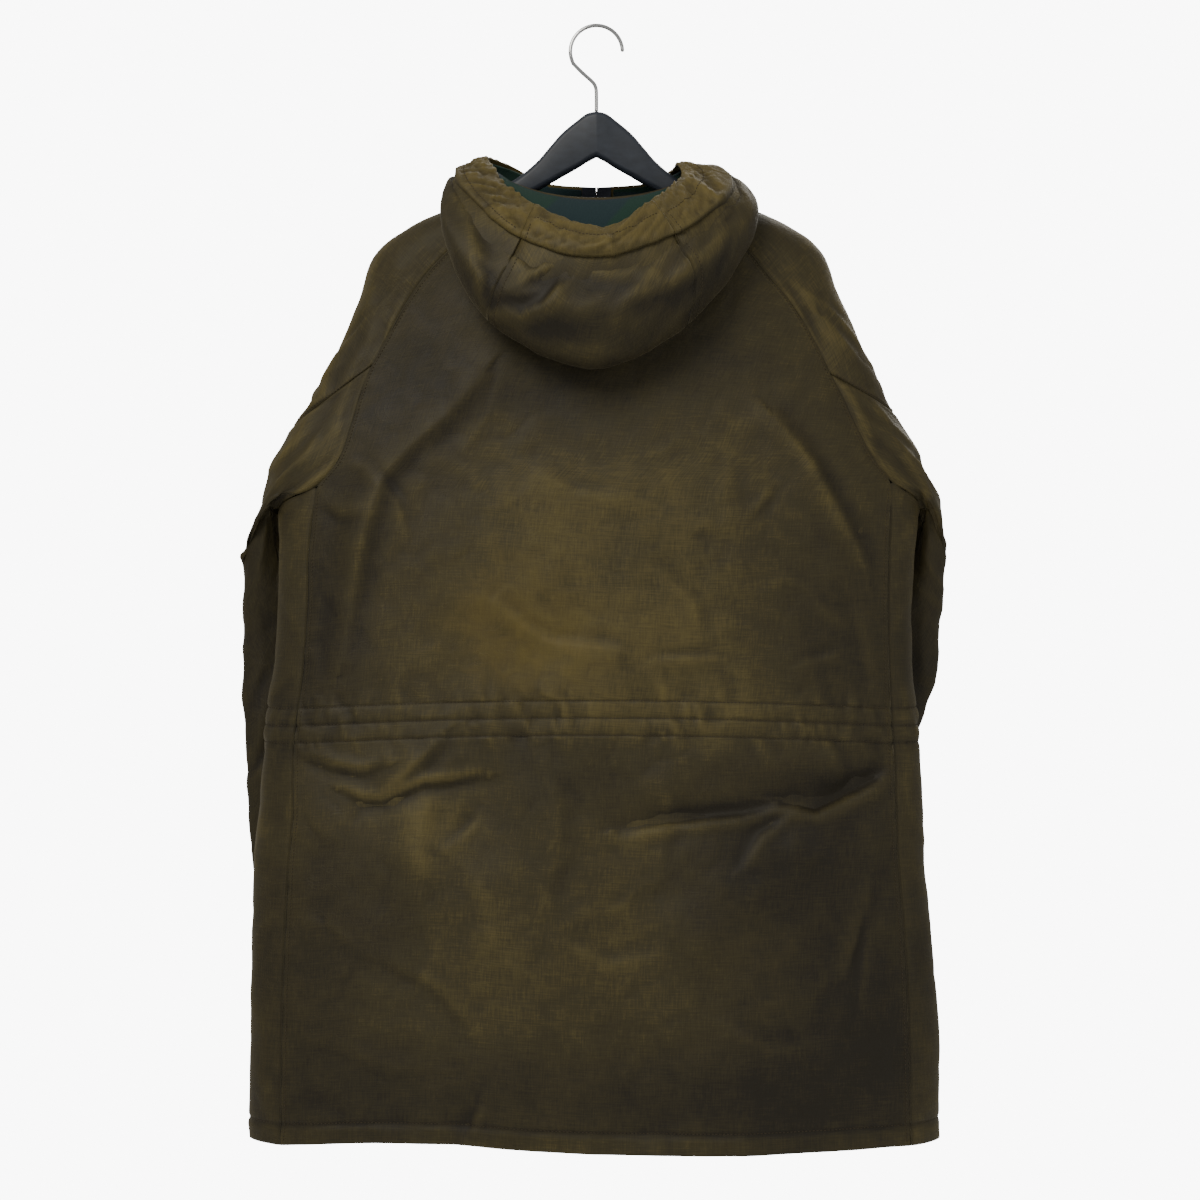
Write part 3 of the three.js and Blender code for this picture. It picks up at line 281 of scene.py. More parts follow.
# Columns: height, left edge, right edge, back, front, edge line
TRUNK = [
    (-135, -84, 84, -50, 52, 0), (-163, -118, 118, -51, 53, 2), (-177, -142, 147, -51, 54, 4),
    (-201, -192, 200, -51, 54, 8), (-219, -213, 218, -51, 54, 10),
    (-264, -227, 235, -51, 54, 11), (-325, -257, 262, -52, 53, 11),
    (-365, -280, 286, -54, 51, 10), (-413, -300, 305, -57, 49, 8),
    (-457, -301, 306, -60, 47, 6), (-530, -301, 300, -62, 46, 5),
    (-600, -305, 299, -63, 46, 5), (-650, -312, 304, -63, 47, 4),
    (-720, -318, 308, -68, 50, 3), (-800, -324, 311, -74, 54, 2),
    (-886, -326, 319, -79, 58, 0), (-971, -328, 324, -83, 61, 0), (-1065, -326, 323, -86, 63, 0),
]

# Heights of the rows of cloth below the sleeves
LEVELS = [-1055, -1045, -1035, -1006, -968, -928, -888, -848, -810, -776, -746, -718, -693,
          -676, -669, -661, -653, -645, -637, -628, -603, -570, -536, -502, -469, -437]

# Side seams, on the back. Columns: height, left, right
SIDE_SEAM = [
    (-432, -261, 276), (-497, -269, 274), (-542, -270, 273), (-597, -273.5, 274),
    (-650, -280.5, 276), (-675, -283, 278), (-745, -283, 280), (-785, -286, 281),
    (-850, -289.5, 286), (-933, -292, 290), (-1065, -294, 292),
]

# The hem's height above its lowest line. Columns: width, rise
HEM = [(-330, 0), (-215, 11), (-125, 12), (-75, 8), (20, 3), (145, 2), (265, 4), (330, 1)]

# Stations along each sleeve, as far as the underarm. Columns: back seam across and height,
# outer ridge across, depth and height, front seam across and height
SLEEVE_TOP = {-1: [
    (-68, -163, -89.5, -2, -147, -76, -163), (-101, -189, -133, 3, -171.5, -104, -188),
    (-134, -215.5, -178, 8, -191, -134, -214), (-158, -240, -211, 13, -217, -158, -240),
    (-179, -269, -226, 16, -262, -178, -268), (-197, -301, -252, 18, -320, -194, -298),
    (-210.5, -324, -290, 19, -382, -206, -326), (-221, -352, -303, 20, -407, -217, -354),
    (-229, -380, -312, 21, -430, -228, -382), (-241, -413, -319, 22, -450, -242, -408),
    (-261, -437, -325, 23, -473, -262, -434), (-284, -447, -331, 24, -487, -284, -448),
    (-301, -457, -338, 27, -503, -301, -457),
], 1: [
    (68, -163, 89.5, -2, -147, 76, -163), (103, -189, 135, 3, -169.5, 104, -188),
    (138, -216, 180, 8, -188.5, 134, -214), (160, -241, 213, 13, -212, 158, -240),
    (181, -265, 231, 16, -256, 178, -268), (201, -296, 257, 18, -311, 196, -298),
    (219, -332, 284, 19, -367, 210, -328), (231, -356, 301, 20, -393, 220, -354),
    (242, -380, 313, 21, -419, 232, -382), (257, -408, 324, 22, -445, 246, -408),
    (276, -432, 329, 23, -466, 268, -434), (292, -443, 332, 24, -484, 289, -447),
    (306, -457, 334, 27, -503, 306, -457),
]}
UNDERARM = 10
SEAM_END = 12
CROSS_SEAM = 6


def smooth(t):
    s = np.clip(t, 0, 1)
    return s * s * (3 - 2 * s)


def mix(a, b, t):
    return a + (b - a) * t


def lookup(table, place):
    """Columns of a table at one or many places, by a curve through its rows."""
    rows = np.array(table, float)
    if rows[0, 0] > rows[1, 0]:
        rows = rows[::-1]
    at, values = rows[:, 0], rows[:, 1:]
    place = np.asarray(place, float)
    last = len(at) - 1
    k = np.clip(np.searchsorted(at, place) - 1, 0, last - 1)

    def slope(n):
        low, high = np.maximum(n - 1, 0), np.minimum(n + 1, last)
        return (values[high] - values[low]) / (at[high] - at[low])[..., None]

    span = (at[k + 1] - at[k])[..., None]
    t = np.clip((place[..., None] - at[k][..., None]) / span, 0, 1)
    found = ((2 * t ** 3 - 3 * t ** 2 + 1) * values[k] + (t ** 3 - 2 * t ** 2 + t) * span * slope(k)
             + (3 * t ** 2 - 2 * t ** 3) * values[k + 1] + (t ** 3 - t ** 2) * span * slope(k + 1))
    return np.moveaxis(found, -1, 0)


def trunk_point(turn, height):
    """Point of the trunk. The turn is 0 at the centre front, a quarter at the right edge."""
    left, right, back, front, edge = lookup(TRUNK, height)
    across, along = np.sin(turn), np.cos(turn)
    depth = np.where(along > 0, front - edge, edge - back)
    power = 2 / ROUNDNESS
    return np.stack([
        (left + right) / 2 + (right - left) / 2 * np.sign(across) * np.abs(across) ** power,
        edge + depth * np.sign(along) * np.abs(along) ** power,
        height + 0 * np.asarray(turn)], -1)


def turn_at(across, height, on_back):
    left, right = lookup(TRUNK, height)[:2]
    share = np.clip((across - (left + right) / 2) / ((right - left) / 2), -1, 1)
    turn = np.arcsin(np.abs(share) ** (ROUNDNESS / 2)) * np.sign(share)
    if not on_back:
        return turn
    return np.where(share < 0, -math.pi - turn, math.pi - turn)


def trunk_normal(turn, height):
    a = trunk_point(turn + 0.01, height) - trunk_point(turn - 0.01, height)
    b = trunk_point(turn, height + 2) - trunk_point(turn, height - 2)
    out = np.cross(a, b)
    out /= np.linalg.norm(out, axis=-1, keepdims=True)
    left, right, _, _, edge = lookup(TRUNK, height)
    away = trunk_point(turn, height)
    flip = (out[..., 0] * (away[..., 0] - (left + right) / 2)
            + out[..., 1] * (away[..., 1] - edge)) < 0
    return np.where(flip[..., None], -out, out)


def row_height(across, level):
    """Height of a lower row: level, but for the dip of the waist channel and the hem's line."""
    waist = -8 * (across / 260) ** 2 * math.exp(-((level + 655) / 90) ** 2)
    arm = 2.5 * np.clip(across / 260, -1, 1) * smooth((level + 520) / 80)
    hem = lookup(HEM, across)[0] * (1 - smooth((level + 1060) / 110))
    return level + waist + hem + arm


def seam_turn(station, row, on_back):
    if station == SEAM_END:
        return math.copysign(math.pi / 2, row[0])
    return turn_at(row[0], row[1], True) if on_back else turn_at(row[5], row[6], False)


def seam_point(station, row, on_back):
    return trunk_point(seam_turn(station, row, on_back), row[1] if on_back else row[6])


def spread(net, axis, size):
    """Places along one way of a net, about size millimetres apart. A list has a size a line."""
    gaps = np.linalg.norm(np.diff(net, axis=axis), axis=2).mean(axis=1 - axis)
    sizes = np.broadcast_to(size, gaps.shape)
    marks = [0.0]
    for k, gap in enumerate(gaps):
        parts = max(1, round(gap / sizes[k]))
        marks.extend(k + (n + 1) / parts for n in range(parts))
    return np.array(marks)


def curve_weights(count, places):
    """Weights that carry a net's rows or columns to finer places, on a smooth curve."""
    weights = np.zeros((len(places), count))
    for row, place in enumerate(places):
        k = min(int(place), count - 2)
        t = place - k
        shares = (-t + 2 * t ** 2 - t ** 3, 2 - 5 * t ** 2 + 3 * t ** 3,
                  t + 4 * t ** 2 - 3 * t ** 3, -t ** 2 + t ** 3)
        for shift, share in zip((-1, 0, 1, 2), shares):
            weights[row, min(max(k + shift, 0), count - 1)] += share / 2
    return weights


def refine(net, size, row_size=None):
    """A finer net on smooth curves through the first. Also returns the rows' places."""
    rows = spread(net, 0, size if row_size is None else row_size)
    columns = spread(net, 1, size)
    by_row = curve_weights(net.shape[0], rows)
    by_column = curve_weights(net.shape[1], columns)
    return np.einsum("ri,ijk,cj->rck", by_row, net, by_column), rows, columns


def net_normals(net):
    out = np.cross(np.gradient(net, axis=1), np.gradient(net, axis=0))
    return out / np.maximum(np.linalg.norm(out, axis=2, keepdims=True), 1e-9)


def lengths(net, axis):
    """Distance along one way of a net from its first line."""
    steps = np.linalg.norm(np.diff(net, axis=axis), axis=2)
    start = np.zeros_like(np.take(steps, [0], axis))
    return np.concatenate([start, np.cumsum(steps, axis)], axis)


def lattice(u, v, seed):
    """Smooth random value, from -1 to 1, that changes over one unit of u or v."""
    values = np.random.default_rng(seed).uniform(-1, 1, (64, 64))
    iu, iv = np.floor(u).astype(int), np.floor(v).astype(int)
    su, sv = smooth(u - iu), smooth(v - iv)
    corner = [values[(iu + a) % 64, (iv + b) % 64] for a in (0, 1) for b in (0, 1)]
    return mix(mix(corner[0], corner[1], sv), mix(corner[2], corner[3], sv), su)


def crumple(u, v, size, seed, turns=3):
    """Random rise of crumpled cloth, from -1 to 1, with features of one size and smaller."""
    total = 0
    for n in range(turns):
        angle = 0.7 + 1.9 * n
        a = (u * math.cos(angle) + v * math.sin(angle)) / size * 1.9 ** n
        b = (v * math.cos(angle) - u * math.sin(angle)) / size * 1.9 ** n
        total = total + lattice(a + 31.7, b + 17.3, seed + n) * 0.55 ** n
    return total / 1.8


def sharp_crumple(u, v, size, seed):
    """Crumpled cloth whose rises meet in sharp lines, from 0 to 1."""
    return np.clip(1 - 2.4 * np.abs(crumple(u, v, size, seed, 2)), 0, 1) ** 1.6


def crease_rise(across, height, table):
    """Rise of listed creases, each steep on one side and soft on the other."""
    total = np.zeros_like(across)
    for rise, width, lip, line in table:
        steps = [math.dist(a, b) for a, b in zip(line, line[1:])]
        whole, passed = sum(steps), 0.0
        best = np.full_like(across, 1e9)
        side, along = np.zeros_like(across), np.zeros_like(across)
        for (ax, az), (bx, bz), step in zip(line, line[1:], steps):
            ux, uz = (bx - ax) / step, (bz - az) / step
            t = np.clip((across - ax) * ux + (height - az) * uz, 0, step)
            dx, dz = across - ax - ux * t, height - az - uz * t
            d = np.hypot(dx, dz)
            closer = d < best
            best = np.where(closer, d, best)
            side = np.where(closer, dx * uz - dz * ux, side)
            along = np.where(closer, (passed + t) / whole, along)
            passed += step
        signed = best * np.sign(side)
        taper = np.sqrt(np.clip(np.sin(math.pi * (0.04 + 0.92 * along)), 0, 1))
        reach = np.where(signed > 0, 2.1 * width, 0.75 * width)
        total += taper * (rise * np.exp(-(best / reach) ** 1.5)
                          + lip * np.exp(-((signed + 1.5 * width) / (1.2 * width)) ** 2))
    return total


def pinch(distance, depth, width):
    """The valley that a seam or a row of stitches draws in the cloth."""
    return -depth * np.exp(-(distance / width) ** 2)


def blur(values, times):
    for _ in range(times):
        padded = np.pad(values, 1, mode="edge")
        values = (padded[2:, 1:-1] + padded[:-2, 1:-1] + padded[1:-1, 2:] + padded[1:-1, :-2]
                  + 2 * values) / 6
    return values


def add_piece(name, vertices, faces, material, body="jacket", smoothly=True):
    """A mesh object, from points in millimetres, that rides on a body."""
    mesh = bpy.data.meshes.new(name)
    mesh.from_pydata((np.asarray(vertices, float) / 1000).tolist(), [], faces)
    mesh.materials.append(material)
    mesh.shade_smooth() if smoothly else mesh.shade_flat()
    piece = bpy.data.objects.new(name, mesh)
    bpy.context.collection.objects.link(piece)
    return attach(piece, body)


def picked(count, step):
    return np.unique(np.append(np.arange(0, count, step), count - 1))


def mark_points(piece, key, values):
    """Gives each point of a piece a value, or a place, that its material reads."""
    kind = "FLOAT_VECTOR" if key == "place" else "FLOAT"
    attribute = piece.data.attributes.new(key, kind, "POINT")
    attribute.data.foreach_set("vector" if key == "place" else "value",
                               np.asarray(values, np.float32).ravel())


def hang_cloth(name, net, rise, material, flip=False, wall=CLOTH, wear_and_shade=None, gold_stain_and_highlight=None):
    """A thin closed shell. The outer side takes the rise; the inner side is coarser."""
    sign = -1 if flip else 1
    normal = net_normals(net) * sign
    outer = net + normal * (wall / 2 + rise)[..., None]
    inner = net + normal * (np.minimum(blur(rise, 4), rise) - wall / 2)[..., None]
    rows, columns = net.shape[:2]
    pick_rows, pick_columns = picked(rows, 7), picked(columns, 7)
    vertices = np.concatenate([outer.reshape(-1, 3),
                               inner[np.ix_(pick_rows, pick_columns)].reshape(-1, 3)])
    index = np.arange(rows * columns).reshape(rows, columns)
    below = rows * columns + np.arange(len(pick_rows) * len(pick_columns)).reshape(
        len(pick_rows), -1)
    quads = np.stack([index[:-1, :-1], index[:-1, 1:], index[1:, 1:], index[1:, :-1]], -1)
    under = np.stack([below[:-1, :-1], below[1:, :-1], below[1:, 1:], below[:-1, 1:]], -1)
    faces = quads.reshape(-1, 4).tolist() + under.reshape(-1, 4).tolist()
    for k, (a, b) in enumerate(zip(pick_rows, pick_rows[1:])):
        faces.append([*index[a:b + 1, 0][::-1].tolist(), int(below[k, 0]), int(below[k + 1, 0])])
        faces.append([*index[a:b + 1, -1].tolist(), int(below[k + 1, -1]), int(below[k, -1])])
    for k, (a, b) in enumerate(zip(pick_columns, pick_columns[1:])):
        faces.append([*index[0, a:b + 1][::-1].tolist(), int(below[0, k]),
                      int(below[0, k + 1])])
        faces.append([*index[-1, a:b + 1].tolist(), int(below[-1, k + 1]), int(below[-1, k])])
    if flip:
        faces = [face[::-1] for face in faces]
    piece = add_piece(name, vertices, faces, material)
    u = lengths(net, 1)
    v = lengths(net, 0)
    place = np.stack([u, v, 0 * u], -1) / 1000
    # Ridges are lighter, as rubbed wax and painted highlight; hollows darker, as painted shade
    ridge_wear_and_hollow_shade = np.clip((rise - blur(rise, 24)) * 0.15, -0.3, 0.22)
    fields = {"wear_and_shade": 0.45 + ridge_wear_and_hollow_shade + (0 if wear_and_shade is None else wear_and_shade),
              "gold_stain_and_highlight": np.zeros_like(u) if gold_stain_and_highlight is None else gold_stain_and_highlight}
    for key, field in (("place", place), *fields.items()):
        mark_points(piece, key, np.concatenate([
            field.reshape(rows * columns, -1),
            field[np.ix_(pick_rows, pick_columns)].reshape(
                len(pick_rows) * len(pick_columns), -1)]))
    return piece, outer, normal


def hide_node(piece, node, flat, area, rests_on):
    """The cloth stands for its solid, which is hidden; the size that it was cut to is not used."""
    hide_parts(node)


# Stitches
# Cotton thread in dark brown, sewn through both layers at about seven stitches in 25 mm.
# Each stitch dips into the cloth at its ends.
STITCH_PITCH = 3.5
STITCH_LENGTH = 2.7
THREAD = 0.42

thread_material, thread_tree = start_material("thread")
strands = add_node(thread_tree, "ShaderNodeTexNoise", {"Scale": 900.0, "Detail": 2.0})
shade = add_node(thread_tree, "ShaderNodeMix", {
    0: strands.outputs["Fac"], 6: srgb(30, 24, 15), 7: srgb(74, 62, 38)}, data_type="RGBA")
twist = add_node(thread_tree, "ShaderNodeBump", {
    "Height": strands.outputs["Fac"], "Strength": 0.4, "Distance": 0.0001})
finish_material(thread_tree, Base_Color=shade.outputs[2], Roughness=0.6,
                Normal=twist.outputs[0])

stitch_rows = []


def sew_row(path, outward):
    """Adds a row of stitches along points of the cloth's face."""
    path, outward = np.asarray(path), np.asarray(outward)
    run = np.concatenate([[0], np.cumsum(np.linalg.norm(np.diff(path, axis=0), axis=1))])
    centres = np.arange(STITCH_PITCH, run[-1] - STITCH_PITCH / 2, STITCH_PITCH)

    def at(place, values):
        return np.stack([np.interp(place, run, values[:, n]) for n in range(3)], -1)

    middle, out = at(centres, path), at(centres, outward)
    ahead = at(centres + 1, path) - at(centres - 1, path)
    ahead /= np.linalg.norm(ahead, axis=1, keepdims=True)
    beside = np.cross(out, ahead)
    rings = []
    for place, level, wide in ((-0.5, -0.35, 0), (-0.3, 0.18, 1), (0.3, 0.18, 1), (0.5, -0.35, 0)):
        centre = middle + ahead * (place * STITCH_LENGTH) + out * level
        if wide:
            for side, up in ((1, 0), (0, 1), (-1, 0), (0, -1)):
                rings.append(centre + (beside * side + out * up) * THREAD)
        else:
            rings.append(centre)
    stitch_rows.append(np.stack(rings, 1))


STITCH_FACES = np.array(
    [(0, 1 + (k + 1) % 4, 1 + k) for k in range(4)]
    + [(1 + k, 1 + (k + 1) % 4, 5 + (k + 1) % 4) for k in range(4)]
    + [(1 + k, 5 + (k + 1) % 4, 5 + k) for k in range(4)]
    + [(9, 5 + k, 5 + (k + 1) % 4) for k in range(4)])


def finish_sewing(name):
    """Joins the rows sewn so far into one piece."""
    points = np.concatenate(stitch_rows)
    faces = (STITCH_FACES[None] + 10 * np.arange(len(points))[:, None, None]).reshape(-1, 3)
    add_piece(name, points.reshape(-1, 3), faces.tolist(), thread_material)
    stitch_rows.clear()


# Back panel
# One broad piece of waxed cotton, crossed at the waist by two drawn channels stitched to a
# tape inside, and turned up 20 mm at the hem. Its folds are those of a jacket hung by hand.
BACK_COLUMNS = 24
CHANNEL_LINES = (-669, -653, -637)
HEM_LINE = -1035

# Broad folds, as in the solid. Columns: rise, half width, points across and height
BACK_FOLDS = [
    (5, 26, [(-105, -335), (-141, -375), (-173, -401), (-197, -428), (-216, -481)]),
    (3, 30, [(-216, -481), (-230, -540), (-236, -600)]),
    (5, 20, [(166, -375), (197, -415), (225, -465), (242, -497)]),
    (-5, 22, [(250, -716), (227, -727), (176, -731), (133, -740), (69, -748)]),
    (4, 24, [(215, -770), (150, -800), (80, -850)]),
    (-3, 26, [(-200, -745), (-150, -738), (-105, -725)]),
    (4, 30, [(-150, -690), (-175, -740), (-160, -800)]),
    (-4, 34, [(20, -700), (35, -800), (30, -920), (40, -1020)]),
    (3, 34, [(-90, -820), (-70, -920), (-80, -1020)]),
    (3, 36, [(130, -860), (150, -950), (140, -1030)]),
    (-3, 28, [(-20, -560), (-60, -600), (-110, -585)]),
]

# Creases. Columns: rise, width, lip on one side, points across and height
BACK_CREASES = [
    (2.4, 9, -1.4, [(-105, -334), (-141, -375), (-173, -401), (-197, -428), (-216, -481),
                    (-237, -599)]),
    (2.6, 8, -1.6, [(166, -375), (197, -415), (211, -440), (225, -465), (242, -497),
                    (253, -523)]),
    (1.1, 5, -0.7, [(-94, -545), (-70, -566), (-44, -583), (20, -590)]),
    (-0.9, 4, 0.5, [(145, -470), (157, -458), (168, -442)]),
    (0.8, 4, -0.6, [(55, -599), (110, -598)]),
    (0.9, 5, -0.7, [(192, -604), (210, -600), (227, -592)]),
    (-5.2, 7, 2.6, [(296, -684), (263, -708), (225, -726), (204, -735), (175, -730)]),
    (-3.6, 6, 1.7, [(175, -730), (133, -740), (69, -746), (22, -755)]),
    (-1.6, 5, 1.0, [(179, -739), (149, -759), (131, -788)]),
    (-2.4, 6, 1.5, [(-277, -693), (-246, -703), (-216, -708), (-197, -700)]),
    (-3.0, 5, 1.8, [(-235, -724), (-216, -734), (-197, -734), (-178, -726), (-159, -717),
                    (-135, -715), (-105, -709)]),
    (2.4, 7, -1.0, [(-143, -672), (-163, -692), (-181, -709), (-202, -720)]),
    (-1.4, 4, 0.6, [(-112, -743), (-129, -762)]),
    (1.4, 12, -0.8, [(-160, -731), (-164, -765), (-158, -802)]),
    (1.5, 6, -0.8, [(253, -807), (239, -858), (227, -889)]),
    (-1.1, 4, 0.5, [(248, -831), (244, -880), (239, -929)]),
    (-1.3, 5, 0.9, [(-108, -1004), (-116, -1020), (-120, -1033)]),
    (1.0, 5, -0.6, [(-216, -420), (-186, -452), (-176, -480)]),
    (-1.0, 6, 0.5, [(232, -545), (240, -575), (250, -618)]),
    (1.1, 7, -0.6, [(-262, -540), (-268, -580), (-262, -620)]),
    (-1.0, 6, 0.6, [(-262, -455), (-240, -470), (-214, -468)]),
    (0.9, 7, -0.5, [(-60, -420), (-20, -446), (30, -450)]),
    (0.8, 6, -0.5, [(60, -520), (90, -548), (96, -580)]),
    (1.0, 8, -0.6, [(-30, -860), (10, -880), (60, -872)]),
    (-0.9, 6, 0.5, [(-200, -880), (-150, -905), (-120, -940)]),
    (0.9, 8, -0.5, [(110, -930), (160, -960), (220, -950)]),
    (-0.8, 7, 0.5, [(-250, -960), (-190, -985), (-150, -980)]),
    (1.2, 10, -0.6, [(60, -700), (66, -740), (56, -800)]),
    (1.2, 9, -0.6, [(-40, -700), (-34, -760), (-46, -820)]),
]

# Painted light and shade, with some wear: darker in the big fold's trough at the right, in the
# hood's shadow, towards the edges and the hem; lighter at the middle and on a few ridges.
# Columns: across, height, half width, half height, lighter or darker
BACK_SHADE_AND_WEAR = [
    (-180, -380, 90, 110, -0.14), (10, -480, 150, 130, 0.2), (0, -575, 130, 60, 0.2),
    (-210, -500, 50, 110, -0.12), (250, -560, 60, 170, -0.12), (-262, -540, 45, 150, -0.24),
    (150, -360, 70, 90, -0.06), (200, -800, 130, 90, -0.28), (-20, -880, 130, 130, 0.08),
    (0, -1010, 330, 52, -0.26), (-230, -880, 70, 130, -0.12), (-160, -765, 22, 46, 0.22),
    (225, -960, 90, 90, -0.3), (40, -650, 150, 26, 0.1), (230, -712, 60, 14, -0.25),
    (120, -742, 60, 10, -0.16), (-235, -700, 50, 30, 0.08), (0, -1046, 330, 8, 0.14),
    (-40, -345, 130, 40, -0.16),
]


def soft_spots(across, height, table):
    total = np.zeros_like(across)
    for x, z, wide, tall, amount in table:
        total += amount * np.exp(-((across - x) / wide) ** 2 - ((height - z) / tall) ** 2)
    return total


def broad_rise(across, height):
    total = np.zeros_like(across)
    for size, width, line in BACK_FOLDS:
        nearest = np.full_like(across, 1e9)
        for (ax, az), (bx, bz) in zip(line, line[1:]):
            length = (bx - ax) ** 2 + (bz - az) ** 2
            t = np.clip(((across - ax) * (bx - ax) + (height - az) * (bz - az)) / length, 0, 1)
            nearest = np.minimum(nearest, np.hypot(across - mix(ax, bx, t),
                                                   height - mix(az, bz, t)))
        total += size * np.exp(-(nearest / width) ** 2)
    return total


def level_of(rows):
    """The level that each fine row lies at; rows above the side seams go on upwards."""
    marks = [*LEVELS, *[LEVELS[-1] + 30 * (n + 1) for n in range(40)]]
    return np.interp(rows, np.arange(len(marks)), marks)


def channel_rise(levels, run, across, seed):
    """The two channels at the waist: full between their stitch lines, and gathered."""
    upper, lower = CHANNEL_LINES[-1], CHANNEL_LINES[0]
    inside = (levels < upper) & (levels > lower)
    full = np.abs(np.sin(math.pi * (levels - upper) / 16)) ** 0.8 * 0.9 * inside
    total = np.broadcast_to(full, across.shape).copy()
    slant = run / 9.5 + (levels + 653) * 0.045
    slant = slant + 0.9 * lattice(run / 24, levels / 11 + 0 * run, seed + 7)
    ripple = lattice(slant, 0 * slant + levels / 26, seed)
    ripple2 = lattice(run / 5.2 + (levels + 653) * 0.06, levels / 14 + 0 * run, seed + 5)
    strength = 0.55 + 0.6 * lattice(run / 60, 0 * run, seed + 9)
    for line in CHANNEL_LINES:
        near = np.exp(-np.abs((levels - line) / 9) ** 1.5)
        total += pinch(levels - line, 0.6, 1.4) + near * (ripple * 1.2 + ripple2 * 1.3) * strength
    reach = np.where(levels > upper, np.exp(-((levels - upper) / 26) ** 2),
                     np.where(levels < lower, np.exp(-((levels - lower) / 34) ** 2), 0))
    long_ripple = lattice(run / 13 + (levels + 653) * 0.03, 0 * run + 3.5, seed + 3)
    total += reach * long_ripple * 1.9 * (0.5 + strength * 0.6)
    return total


def hem_rise(levels, run, seed):
    """The turned-up hem, full and slightly twisted below its stitch line."""
    below = smooth((HEM_LINE - levels) / 5)
    twist = lattice(run / 16 + levels / 30, levels / 24 + 0 * run, seed)
    rise = below * (0.9 + 0.8 * twist) + pinch(levels - HEM_LINE, 0.9, 2.4)
    above = np.exp(-np.clip((levels - HEM_LINE) / 18, 0, 9) ** 2) * (levels > HEM_LINE)
    return rise + above * twist * 0.7


back_net = []
for level in LEVELS:
    left_seam, right_seam = lookup(SIDE_SEAM, level)
    across = mix(left_seam, right_seam, np.linspace(0, 1, BACK_COLUMNS + 1))
    height = row_height(across, level)
    inset = smooth(np.minimum(across - left_seam, right_seam - across) / 45)
    turn = turn_at(across, height, True)
    back_net.append(trunk_point(turn, height) + trunk_normal(turn, height)
                    * (broad_rise(across, height) * inset)[:, None])
for k in range(UNDERARM - 1, -1, -1):
    share = np.linspace(0, 1, BACK_COLUMNS + 1)
    left_row, right_row = SLEEVE_TOP[-1][k], SLEEVE_TOP[1][k]
    across = mix(left_row[0], right_row[0], share)
    dip = -9.5 * (1 - k / UNDERARM) ** 2
    height = mix(left_row[1], right_row[1], share) + dip * (1 - (2 * share - 1) ** 2)
    inset = smooth(np.minimum(across - left_row[0], right_row[0] - across) / 45)
    turn = turn_at(across, height, True)
    back_net.append(trunk_point(turn, height) + trunk_normal(turn, height)
                    * (broad_rise(across, height) * inset)[:, None])
back_net = np.array(back_net)


def draw_in(net, sides, gap=0.12):
    """Moves borders in by half of the seam's gap."""
    net = net.copy()
    for side in sides:
        edge, inner = (0, 1) if side == "first" else (-1, -2)
        step = net[:, inner] - net[:, edge]
        net[:, edge] += gap * step / np.linalg.norm(step, axis=1, keepdims=True)
    return net


row_sizes = [1.25 if -694 < level < -610 else 2.6 for level in LEVELS]
row_sizes += [2.6] * (len(back_net) - 1 - len(row_sizes))
net, rows, columns = refine(draw_in(back_net, ("first", "last")), 2.55, row_sizes)
levels = level_of(rows)[:, None]
x, z = net[..., 0], net[..., 2]
run = lengths(net, 1)
from_seam = np.minimum(run, run[:, -1:] - run)
rise = 1.5 * crease_rise(x, z, BACK_CREASES)
rise += crumple(x, z, 95, 11) * 1.5 + crumple(x, z, 34, 21) * 0.45
uneven = 0.55 + 0.5 * crumple(x, z, 150, 31)
rise += (sharp_crumple(x, z, 60, 15) * 1.5 - sharp_crumple(x, z, 36, 17) * 0.9) * uneven
rise *= smooth(from_seam / 22)
rise += channel_rise(levels, run, x, 41) + hem_rise(levels, run, 51)
seam_ripple = lattice(z / 11, run / 30, 61) * np.exp(-(from_seam / 12) ** 2)
rise += pinch(from_seam, 0.7, 1.3) + 0.5 * seam_ripple + pinch(from_seam - 5.2, 0.4, 1.2)
rise += 0.25 * np.exp(-((from_seam - 2.6) / 1.6) ** 2)
# Painted light and shade from the table above, with wear and random tone
wear_and_shade = soft_spots(x, z, BACK_SHADE_AND_WEAR) + 0.05 * crumple(x, z, 60, 71)
# Painted highlight: a faint lighter line beside each seam, on its raised edge
wear_and_shade += 0.03 * np.exp(-((from_seam - 3) / 3) ** 2)
gold_stain_and_highlight = soft_spots(x, z, [(-72, -580, 55, 48, 1.0), (-40, -600, 60, 26, 0.5),
                         (-100, -548, 50, 40, 0.5)])
back, back_face, back_out = hang_cloth("back_cloth", net, rise, waxed, wear_and_shade=wear_and_shade, gold_stain_and_highlight=gold_stain_and_highlight)
hide_node(back, "back", (0.60, 0.91), 0.46, ["shoulder_cloth_left", "shoulder_cloth_right"])

for line in CHANNEL_LINES + (HEM_LINE,):
    row = int(np.argmin(np.abs(levels[:, 0] - line)))
    sew_row(back_face[row, 2:-2], back_out[row, 2:-2])
seam_top = int(np.argmin(np.abs(levels[:, 0] - LEVELS[-1])))
for column in (2, -3):
    sew_row(back_face[1:seam_top, column], back_out[1:seam_top, column])
    sew_row(back_face[seam_top:-1, column], back_out[seam_top:-1, column])
finish_sewing("back_stitches")

# Front panels
# Each front wraps round the side to the seam on the back, and carries the waist channels
# and the hem on to the zip. Both are plain, since the jacket hides them.
FRONT_COLUMNS = 11
FACING_STITCH = 30
CENTRE_LEVELS = [-484, -472, -460, -444, -426, -405, -384, -362, -340, -318, -297, -275, -252,
                 -228, -205]
NECKLINE = [(0, -205.2), (12, -204.3), (30, -197.5), (47, -187.6), (62, -175.5), (76, -163.4)]


